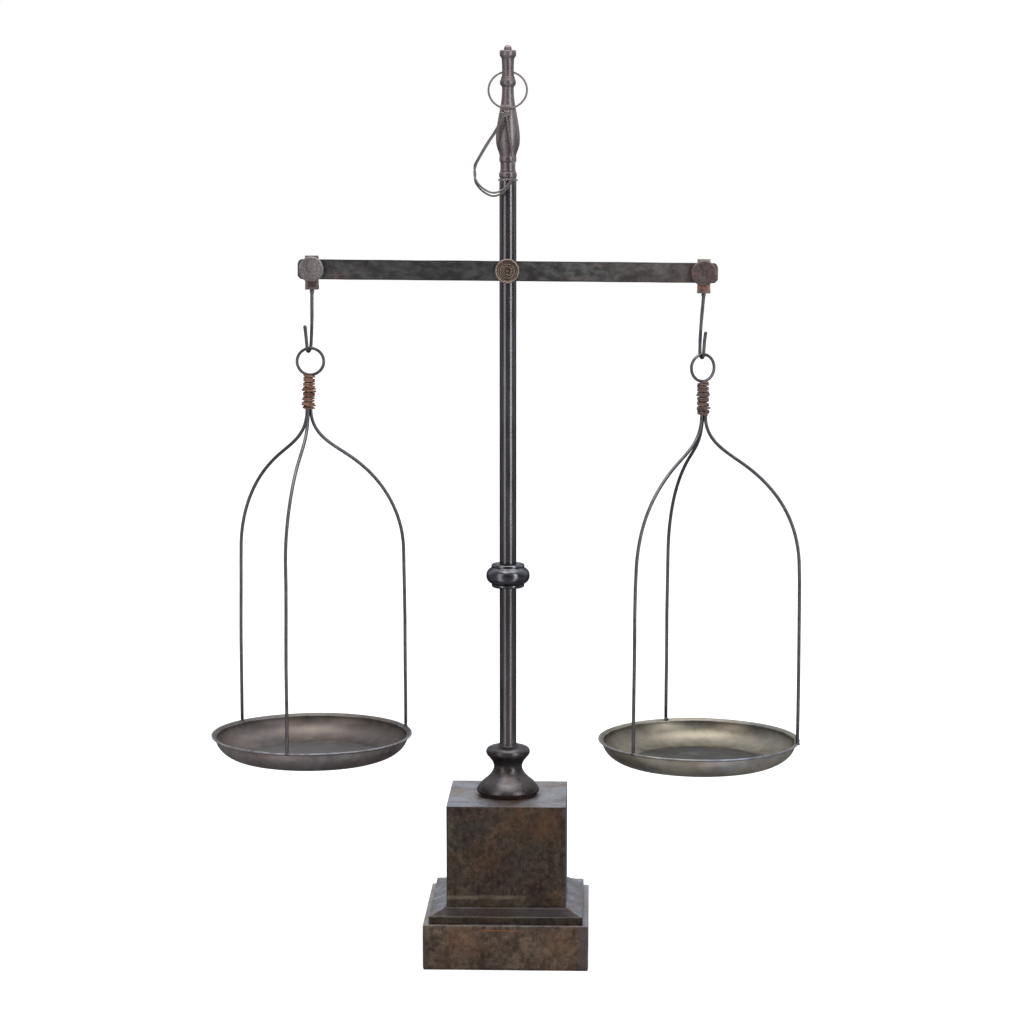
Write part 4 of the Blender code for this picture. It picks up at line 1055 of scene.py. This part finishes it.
def build_hook(side):
    """Drawn wire, hammered blunt at its open end, leaning from the strap to its bend."""
    top = SWIVELS[side]
    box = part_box(side + "_hook")
    wire = 1.85
    bend = 5.6
    yaw = math.radians(-14 if side == "left" else 18)
    lean = (CAGE_TOPS[side].x - top.x) / MM
    bend_height = (box[0].z - top.z) / MM + wire + bend + 0.05
    bow = 1.2 if side == "left" else -1.3
    flare = -3.3 if side == "left" else 1.2
    path = [(0.0, 4.2), (0.0, 1.6), (0.0, -1.0), (0.3, -8.0), (0.8, -17.0), (2.6, (bend_height - 17.0) / 2),
            (bend - 0.4, bend_height + 4.0)]
    path += [(point[0], point[1] + bend_height) for point in arc((0.0, 0.0), bend, 0, -180, 12)]
    path += [(-bend - 0.35, bend_height + 8.0), (-bend - 0.9, bend_height + 16.0),
             (-bend - 1.6, bend_height + 23.9)]
    points = []
    radii = []
    smooth = curve_through(path, 4)
    lowest = bend_height - bend
    for index, point in enumerate(smooth):
        depth, height = point.x, point.y
        share = min(1.0, max(0.0, height / lowest))
        x = lean * share - depth * math.sin(yaw)
        if index < len(smooth) * 0.55:
            x += bow * math.sin(math.pi * share ** 1.3)
        rise = max(0.0, height - bend_height) / 24.0
        if depth < -bend * 0.9:
            x += flare * rise ** (1.0 if side == "left" else 2.5)
        points.append(top + Vector((x, depth * math.cos(yaw), height)) * MM)
        swell = 1.0
        if index < 5:
            swell = 1.85
        elif height > -3.0 and depth >= 0.0:
            swell = 1.35
        if index > len(smooth) * 0.95:
            swell = 1.07
        radii.append(wire * swell * MM)
    bm = tube(points, radii, 18, seed=2.0 if side == "left" else 6.0, uneven=0.05)
    make(side + "_hook_wire", bm, side + "_hook", [side + "_hook"], FINISH["iron"])


def ring_mesh(radius, wire, centre, yaw, seed, segments=96, sides=14):
    """A bent wire ring standing on edge, with a faint butt joint where its ends meet."""
    section = arc((radius * MM, 0.0), wire * MM, 0, 360, sides)[:-1]
    bm = place(turned(section, segments), TO_FRONT)
    for vertex in bm.verts:
        angle = math.atan2(vertex.co.z, vertex.co.x)
        middle = Vector((math.cos(angle), 0.0, math.sin(angle))) * radius * MM
        off = vertex.co - middle
        joint = math.exp(-((angle - 2.1) / 0.05) ** 2)
        swell = 1.0 + 0.035 * noise.noise(middle * 180 + Vector((seed, 0, 0))) - 0.10 * joint
        vertex.co = middle + off * swell
    roughen(bm, 50.0, 0.10 * MM, seed)
    return place(bm, Matrix.Translation(centre) @ Matrix.Rotation(yaw, 4, "Z"))


CAGE_YAW = {"left": math.radians(4), "right": math.radians(30)}
WIRE_AZIMUTH = {"left": math.radians(22), "right": math.radians(-12)}
RING_RADIUS = 14.8
RING_WIRE = 1.7


def lashing_winds(side, centre_at, top, bottom):
    """One long wire wound round the bundle, its turns uneven, with two loose wide turns."""
    seed = 3.0 if side == "left" else 17.0
    turns = 13.6 if side == "left" else 14.2
    wide = ((0.46, 2.3), (0.90, 2.0)) if side == "left" else ((0.39, 1.6), (0.80, 2.0))
    steps = 380
    length = top - bottom
    path = []
    for step in range(steps + 1):
        t = step / steps
        angle = math.tau * turns * t + seed
        loose = sum(extra * math.exp(-((t - at) / 0.030) ** 2) for at, extra in wide)
        radius = 5.75 + 0.50 * noise.noise(Vector((t * 13.0, seed, 0.0))) + loose
        slant = 0.45 * math.sin(angle * 0.5 + 4.0 * noise.noise(Vector((t * 4.0, seed, 7.0))))
        height = top - (0.9 + (length / MM - 1.8) * t) * MM
        height += (slant + 0.40 * noise.noise(Vector((t * 21.0, seed, 3.0)))) * MM
        centre = centre_at(height)
        path.append(centre + Vector((radius * math.cos(angle), radius * 0.92 * math.sin(angle), 0.0)) * MM)
    wind = tube(path, 1.06 * MM, 10, seed=seed, uneven=0.08)
    crossings = ((0.30, 0.42, 0.9), (0.58, 0.72, 3.9), (0.80, 0.97, 0.4), (0.90, 0.79, 3.2))
    for index, (start, end, about) in enumerate(crossings):
        strand = []
        for step in range(15):
            t = step / 14
            angle = about + 2.6 * t + seed
            height = top - length * (start + (end - start) * t)
            radius = 6.35 + 0.35 * noise.noise(Vector((t * 5.0, index, seed)))
            if step == 0 or step == 14:
                radius += 1.5
            strand.append(centre_at(height) + Vector((radius * math.cos(angle),
                                                      radius * math.sin(angle), 0.0)) * MM)
        strand = curve_through(strand, 2)
        merge(wind, tube(strand, 0.88 * MM, 9, seed=seed + index, uneven=0.08))
    return wind


def cage_path(side, letter_index, rim_z, lash_bottom, lash_top, centre_at):
    """One cage wire from inside the lashing, down its bell shoulder, to the pan's rim."""
    azimuth = WIRE_AZIMUTH[side] + math.radians(120 * letter_index)
    outward = Vector((math.cos(azimuth), math.sin(azimuth), 0.0))
    drop = (rim_z - lash_bottom) / MM
    knots = [(2.45, 0.0, 0.0), (45.0, -53.0, 0.0), (110.0, -168.0, 0.0)]
    handles = [((2.45, -28.0, 0.0), (24.0, -38.8, 0.0)), ((78.0, -75.3, 0.0), (110.0, -112.0, 0.0))]
    flat = [(2.45, (lash_top - lash_bottom) / MM - 0.6), (2.45, 18.0), (2.45, 8.0)]
    for first, second, (leave, arrive) in zip(knots, knots[1:], handles):
        span = interpolate_bezier(Vector(first), Vector(leave), Vector(arrive), Vector(second), 22)
        flat += [(point.x, point.y) for point in span[:-1]]
    flat.append((110.0, -168.0))
    for share in (0.50, 0.58, 0.66, 0.74, 0.82, 0.90, 0.96, 1.0):
        flat.append((110.0 + 1.6 * min(1.0, (share - 0.42) / 0.3), drop * share))
    centre = centre_at(lash_bottom)
    path = []
    for radius, height in flat:
        t = max(0.0, min(1.0, height / drop))
        middle = centre_at(lash_bottom + height * MM) if height > 0 else centre.lerp(centre_at(rim_z), t)
        seed = letter_index * 3.0 + (5.0 if side == "left" else 9.0)
        sway = wander((radius * MM, height * MM, 0.0), 14.0, seed)
        sway *= 0.9 * MM * math.sin(math.pi * min(1.0, t * 1.02)) if t < 0.98 else 0.0
        spot = middle + outward * (radius * MM) + Vector((sway.x, sway.y, 0.0))
        spot.z = lash_bottom + height * MM
        path.append(spot)
    return path, outward


def pan_mesh(seed):
    """A spun pan: flat floor, rounded wall, and a flared lip with a small rolled edge."""
    rim_radius, mouth, floor_radius, depth, sheet, lip = 113.4, 109.0, PAN_FLOOR_RADIUS, 27.0, 1.2, 2.0
    wide = mouth - floor_radius
    high = depth - lip
    inside = []
    outside = []
    for step in range(17):
        angle = math.radians(90 * step / 16)
        inside.append((floor_radius + (wide - sheet) * math.cos(angle),
                       -lip - (high - sheet) * math.sin(angle)))
        outside.append((floor_radius + wide * math.cos(angle), -lip - high * math.sin(angle)))
    floor_steps = [floor_radius * share for share in (0.0, 0.12, 0.25, 0.38, 0.5, 0.62, 0.74, 0.86, 0.95)]
    flare = curve_through([inside[1], inside[0], (mouth - 0.2, -1.75), (mouth + 1.3, -0.75),
                           (rim_radius - 1.9, -0.22)], 3)
    edge = arc((rim_radius - 0.95, -0.97), 0.95, 118, -150, 9)
    under = curve_through([(rim_radius - 2.2, -1.95), (mouth + 1.3, -2.3), (mouth + 0.25, -3.0),
                           outside[1]], 3)
    section = [(radius, -depth + sheet) for radius in floor_steps] + inside[:1:-1]
    section += [tuple(point) for point in flare] + edge
    section += [tuple(point) for point in under] + outside[2:]
    section += [(radius, -depth) for radius in floor_steps[::-1]]
    bm = turned([(radius * MM, height * MM) for radius, height in section], 144, closed=False)
    for vertex in bm.verts:
        radius = vertex.co.xy.length
        spin = math.atan2(vertex.co.y, vertex.co.x)
        around = Vector((math.cos(spin), math.sin(spin), seed))
        share = min(1.0, radius / (rim_radius * MM))
        vertex.co.z += (0.45 * noise.noise(around * 1.3) - 0.35) * share ** 3 * MM
        vertex.co.z += 0.8 * (math.sin(spin) + 0.4) * share ** 3 * MM
        dent = wander(vertex.co, 26.0, seed)
        vertex.co.z += dent.z * 0.20 * MM * (1.0 - share ** 6)
        if radius > 1e-6:
            pull = (0.25 * noise.noise(around * 1.9 + Vector((3.0, 1.0, 0.0))) - 0.25) * share ** 3
            vertex.co.x *= 1.0 + pull * MM / radius
            vertex.co.y *= 1.0 + pull * MM / radius
    return bm


def mark_floor(piece, centre, floor_radius):
    """Stores 1 on the pan's flat floor and 0 on its wall, with a soft edge between them."""
    values = []
    for vertex in piece.data.vertices:
        radius = (vertex.co.xy - centre.xy).length / MM
        values.append(max(0.0, min(1.0, (floor_radius + 5.0 - radius) / 5.0)))
    store = piece.data.attributes.new("floor", "FLOAT", "POINT")
    store.data.foreach_set("value", values)


def build_cage(side):
    body = side + "_cage"
    ring_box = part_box(side + "_ring")
    lash_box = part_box(side + "_lashing")
    pan_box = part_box(side + "_pan")
    top = CAGE_TOPS[side]
    shift = 2.1 if side == "left" else 1.1
    slant = -0.6 if side == "left" else 3.6
    lash_top, lash_bottom = lash_box[1].z, lash_box[0].z
    rim_z = pan_box[1].z
    pan_centre = Vector(((pan_box[0].x + pan_box[1].x) / 2, (pan_box[0].y + pan_box[1].y) / 2, 0.0))

    def centre_at(height):
        """The bundle's axis: it wanders a little from the ring to the pan's centre."""
        levels = [(rim_z, 0.0), (lash_bottom, slant * 0.55), (lash_top, slant * 0.3 + shift * 0.4),
                  (lash_top + 0.02, shift)]
        for (low, start), (high, end) in zip(levels, levels[1:]):
            if height <= high or high == levels[-1][0]:
                t = max(0.0, min(1.0, (height - low) / (high - low)))
                return Vector((pan_centre.x + (start + (end - start) * t) * MM, pan_centre.y, height))
        return Vector((pan_centre.x, pan_centre.y, height))

    ring_centre = Vector((top.x + shift * MM, top.y, (ring_box[0].z + ring_box[1].z) / 2))
    ring = ring_mesh(RING_RADIUS, RING_WIRE, ring_centre, CAGE_YAW[side], 2.0 if side == "left" else 8.0)
    make(side + "_ring_wire", ring, body, [side + "_ring"], FINISH["ring"])

    wind = lashing_winds(side, centre_at, lash_top + 1.9 * MM, lash_bottom - 0.6 * MM)
    make(side + "_lashing_wire", wind, body, [side + "_lashing"],
         FINISH["rust" if side == "left" else "brown_rust"])

    for index, letter in enumerate("abc"):
        path, outward = cage_path(side, index, rim_z, lash_bottom, lash_top, centre_at)
        bm = tube(path, CAGE_WIRE, 14, seed=index * 2.0 + (0.0 if side == "left" else 10.0), uneven=0.03)
        foot = path[-1] + Vector((0.0, 0.0, -0.9 * MM))
        across = Vector((-outward.y, outward.x, 0.0))
        merge(bm, blob(foot + Vector((0.0, 0.0, -0.2 * MM)), (2.9 * MM, 2.6 * MM, 1.5 * MM), index + 4.0))
        if index == 0 and side == "left":
            for way in (-1, 1):
                leg = [foot + Vector((0.0, 0.0, 7.0 * MM)),
                       foot + across * (1.2 * way * MM) + Vector((0.0, 0.0, 3.4 * MM)),
                       foot + across * (2.6 * way * MM) + Vector((0.0, 0.0, 0.2 * MM))]
                merge(bm, tube(curve_through(leg, 4), 1.15 * MM, 10, seed=way, uneven=0.1))
        if index == 1 and side == "right":
            merge(bm, blob(foot - outward * (1.6 * MM) + Vector((0.0, 0.0, 1.2 * MM)),
                           (2.5 * MM, 2.5 * MM, 2.4 * MM), 9.0))
        make(f"{side}_bell_wire_{letter}", bm, body, [f"{side}_cage_wire_{letter}"],
             FINISH["iron"])

    pan = pan_mesh(2.5 if side == "left" else 6.5)
    place(pan, Matrix.Translation((pan_centre.x, pan_centre.y, rim_z)))
    spun = make(side + "_spun_pan", pan, body, [side + "_pan"],
                FINISH["pan_left" if side == "left" else "pan_right"])
    mark_floor(spun, pan_centre, PAN_FLOOR_RADIUS)


# ---------------------------------------------------------------- hanging ring and wire loop

def build_hanging_ring():
    radius = 21.15
    wire = 1.1
    lean = math.radians(17.5)
    centre = RING_HOLE + Matrix.Rotation(-lean, 3, "X") @ Vector((0.0, 0.0, -radius * MM))
    bm = ring_mesh(radius, wire * 0.99, (0.0, 0.0, 0.0), 0.0, 12.0, 120, 12)
    place(bm, Matrix.Translation(centre) @ Matrix.Rotation(-lean, 4, "X"))
    make("finial_ring", bm, "hanging_ring", ["hanging_ring"], FINISH["brown_iron"])


def build_loop():
    """One thin wire: strands over the ring, three wraps below it, and two long hanging turns."""
    eye = RING_EYE
    tie = bmesh.new()
    for index, x in enumerate((-3.5, -1.2, 1.1, 3.3)):
        tilt = (0.35, -0.2, 0.25, -0.35)[index]
        strand = []
        for depth, height in [(-3.4, -9.4), (-3.3, -6.0), (-2.9, -3.0)] + [
                (-2.95 * math.cos(math.radians(a)), 2.95 * math.sin(math.radians(a)))
                for a in range(0, 181, 20)] + [(2.3, -3.0), (0.6, -5.6), (-0.3, -9.2)]:
            strand.append(eye + Vector((x + tilt * height * 0.3, depth, height)) * MM)
        merge(tie, tube(curve_through(strand, 3), LOOP_WIRE, 9, seed=index, uneven=0.06))
    wrap = []
    for step in range(91):
        t = step / 90
        angle = math.tau * 3.15 * t - 1.9
        wide = 5.0 + 0.35 * noise.noise(Vector((t * 6.0, 2.0, 0.0)))
        wrap.append(eye + Vector((wide * math.cos(angle) - 0.2 * t, -2.2 - 2.75 * -math.sin(angle),
                                  -3.3 - 5.6 * t + 0.5 * math.sin(angle + 0.6))) * MM)
    merge(tie, tube(wrap, LOOP_WIRE, 9, seed=5.0, uneven=0.06))
    make("loop_lashing", tie, "hanging_loop", ["loop_tie"], FINISH["brown_iron"])

    floor = -9.0
    outlines = {
        "front": [(-1.6, 0.6), (-9.0, -15.0), (-17.0, -27.0), (-27.5, -44.0), (-32.8, -55.0),
                  (-34.4, -64.5), (-30.5, -74.0), (-22.0, -81.6), (-12.0, -84.6), (-2.0, -80.6),
                  (6.4, -71.0), (9.9, -60.0), (8.9, -48.0), (6.6, -34.0), (3.9, -17.0), (1.8, 0.6)],
        "back": [(-3.4, 0.6), (-9.4, -13.0), (-19.6, -28.5), (-29.6, -45.5), (-33.4, -53.0),
                 (-32.4, -62.0), (-32.4, -70.5), (-25.0, -80.0), (-13.8, -85.6), (-3.2, -82.4),
                 (4.8, -74.0), (9.0, -64.0), (9.8, -52.0), (8.0, -38.0), (4.8, -20.0), (0.4, 0.6)]}
    for (letter, outline), depth, swell in zip(outlines.items(), (-4.9, -2.4), (0.985, 1.015)):
        points = []
        for index, (x, z) in enumerate(outline):
            sway = 0.7 * noise.noise(Vector((index * 0.7, depth, 0.0)))
            points.append(eye + Vector((x * swell, depth + sway * 0.5, z * swell + floor)) * MM)
        bm = tube(curve_through(points, 6), LOOP_WIRE, 10, seed=depth, uneven=0.06)
        make("loop_wire_" + letter, bm, "hanging_loop", ["loop_turn_" + letter],
             FINISH["brown_iron"])


# ---------------------------------------------------------------- hidden fixings

def finish_hidden_parts():
    for node in ("ballast_plate", "tie_washer", "tie_nut", "tie_rod", "post_plug", "joint_nipple"):
        replace_material(frame["nodes"][node], FINISH["zinc"])
    replace_material(frame["nodes"]["pivot_bush"], FINISH["boss"])


def replace_material(piece, material):
    for spot in piece.material_slots:
        spot.material = material


# ---------------------------------------------------------------- studio

def build_studio():
    floor_mesh = bmesh.new()
    bmesh.ops.create_grid(floor_mesh, x_segments=24, y_segments=24, size=14.0)
    for vertex in floor_mesh.verts:
        vertex.co.z = -0.3 * MM
    mesh = bpy.data.meshes.new("studio_floor")
    floor_mesh.to_mesh(mesh)
    floor_mesh.free()
    floor = bpy.data.objects.new("studio_floor", mesh)
    bpy.context.scene.collection.objects.link(floor)
    paper = Finish("white_paper")
    tone = paper.mix(paper.ramp(paper.noise(3.0, 2.0), 0.3, 0.7), (0.90, 0.90, 0.90), (0.93, 0.93, 0.93))
    seen = paper.tree.nodes.new("ShaderNodeLightPath").outputs["Is Camera Ray"]
    tone = paper.mix(seen, (0.16, 0.16, 0.17), paper.mix(0.62, tone, (0.0, 0.0, 0.0)))
    paper.shader.inputs["Emission Color"].default_value = (1.0, 1.0, 1.0, 1.0)
    across = paper.axis("X")
    ahead = paper.times(paper.axis("Y"), -1.0)
    around = paper.math("ARCTAN2", across, ahead)
    reach = paper.math("SQRT", paper.math("ADD", paper.times(across, across),
                                          paper.times(ahead, ahead)))
    near = paper.times(paper.ramp(reach, 0.35, 0.60), paper.ramp(reach, 3.4, 2.4))
    glow = None
    for towards, half_wide, strength in ((-40.0, 17.0, 1.5), (37.0, 9.0, 3.0)):
        off = paper.math("ABSOLUTE", paper.math("SUBTRACT", around, math.radians(towards)))
        part = paper.times(paper.ramp(off, math.radians(half_wide), math.radians(half_wide * 0.3)),
                          strength)
        glow = part if glow is None else paper.math("ADD", glow, part)
    glow = paper.math("ADD", paper.times(glow, near), 0.08)
    hidden = paper.math("SUBTRACT", 1.0, seen)
    glow = paper.math("ADD", paper.times(glow, hidden), paper.times(seen, 0.80))
    paper.value(paper.shader.inputs["Emission Strength"], glow)
    paper.value(paper.shader.inputs["Base Color"], tone)
    paper.shader.inputs["Roughness"].default_value = 0.9
    mesh.materials.append(paper.material)

    world = bpy.data.worlds.new("studio")
    bpy.context.scene.world = world
    world.use_nodes = True
    tree = world.node_tree
    tree.nodes.clear()
    output = tree.nodes.new("ShaderNodeOutputWorld")
    shown = tree.nodes.new("ShaderNodeBackground")
    shown.inputs["Color"].default_value = (1.0, 1.0, 1.0, 1.0)
    shown.inputs["Strength"].default_value = 1.0
    lighting = tree.nodes.new("ShaderNodeBackground")
    coords = tree.nodes.new("ShaderNodeTexCoord")
    parts = tree.nodes.new("ShaderNodeSeparateXYZ")
    tree.links.new(coords.outputs["Generated"], parts.inputs["Vector"])
    behind = soft_step(tree, parts.outputs["Y"], (-0.35, 0.75), (0.10, 1.55))
    above = soft_step(tree, parts.outputs["Z"], (0.25, 0.95), (0.0, 0.55))
    total = tree.nodes.new("ShaderNodeMath")
    total.operation = "ADD"
    tree.links.new(behind, total.inputs[0])
    tree.links.new(above, total.inputs[1])
    lighting.inputs["Color"].default_value = (0.84, 0.90, 1.0, 1.0)
    tree.links.new(total.outputs["Value"], lighting.inputs["Strength"])
    ray = tree.nodes.new("ShaderNodeLightPath")
    mix = tree.nodes.new("ShaderNodeMixShader")
    tree.links.new(ray.outputs["Is Camera Ray"], mix.inputs["Fac"])
    tree.links.new(lighting.outputs["Background"], mix.inputs[1])
    tree.links.new(shown.outputs["Background"], mix.inputs[2])
    tree.links.new(mix.outputs["Shader"], output.inputs["Surface"])

    for name, spot, target, size, power, colour in (
            ("softbox_left", (-1.75, -1.85, 1.2), (0.0, 0.0, 0.55), (1.0, 2.4), 19.0, (1.0, 0.96, 0.94)),
            ("softbox_right", (1.65, -1.70, 1.2), (0.0, 0.0, 0.55), (0.50, 2.4), 31.0, (0.90, 0.95, 1.0)),
            ("softbox_top", (0.1, -0.3, 2.9), (0.0, 0.0, 0.4), (2.4, 1.8), 60.0, (1.0, 1.0, 1.0))):
        data = bpy.data.lights.new(name, "AREA")
        data.shape = "RECTANGLE"
        data.size, data.size_y = size
        data.energy = power
        data.color = colour
        light = bpy.data.objects.new(name, data)
        bpy.context.scene.collection.objects.link(light)
        light.location = spot
        light.rotation_euler = (Vector(target) - Vector(spot)).to_track_quat("-Z", "Y").to_euler()

    view = bpy.context.scene.view_settings
    view.view_transform = "Standard"
    view.look = "None"

    data = bpy.data.cameras.new("camera")
    data.lens = 96.36
    data.sensor_width = 36.0
    data.clip_end = 60.0
    camera = bpy.data.objects.new("camera", data)
    bpy.context.scene.collection.objects.link(camera)
    camera.location = (0.1024, -3.05499, 0.87593)
    camera.rotation_euler = (math.radians(90.0 - 6.963), 0.0, math.radians(1.835))
    bpy.context.scene.camera = camera


build_base()
build_column()
build_finial()
build_pivot()
build_beam()
for part_side in ("left", "right"):
    build_stirrup(part_side)
    build_hook(part_side)
    build_cage(part_side)
build_hanging_ring()
build_loop()
finish_hidden_parts()
build_studio()
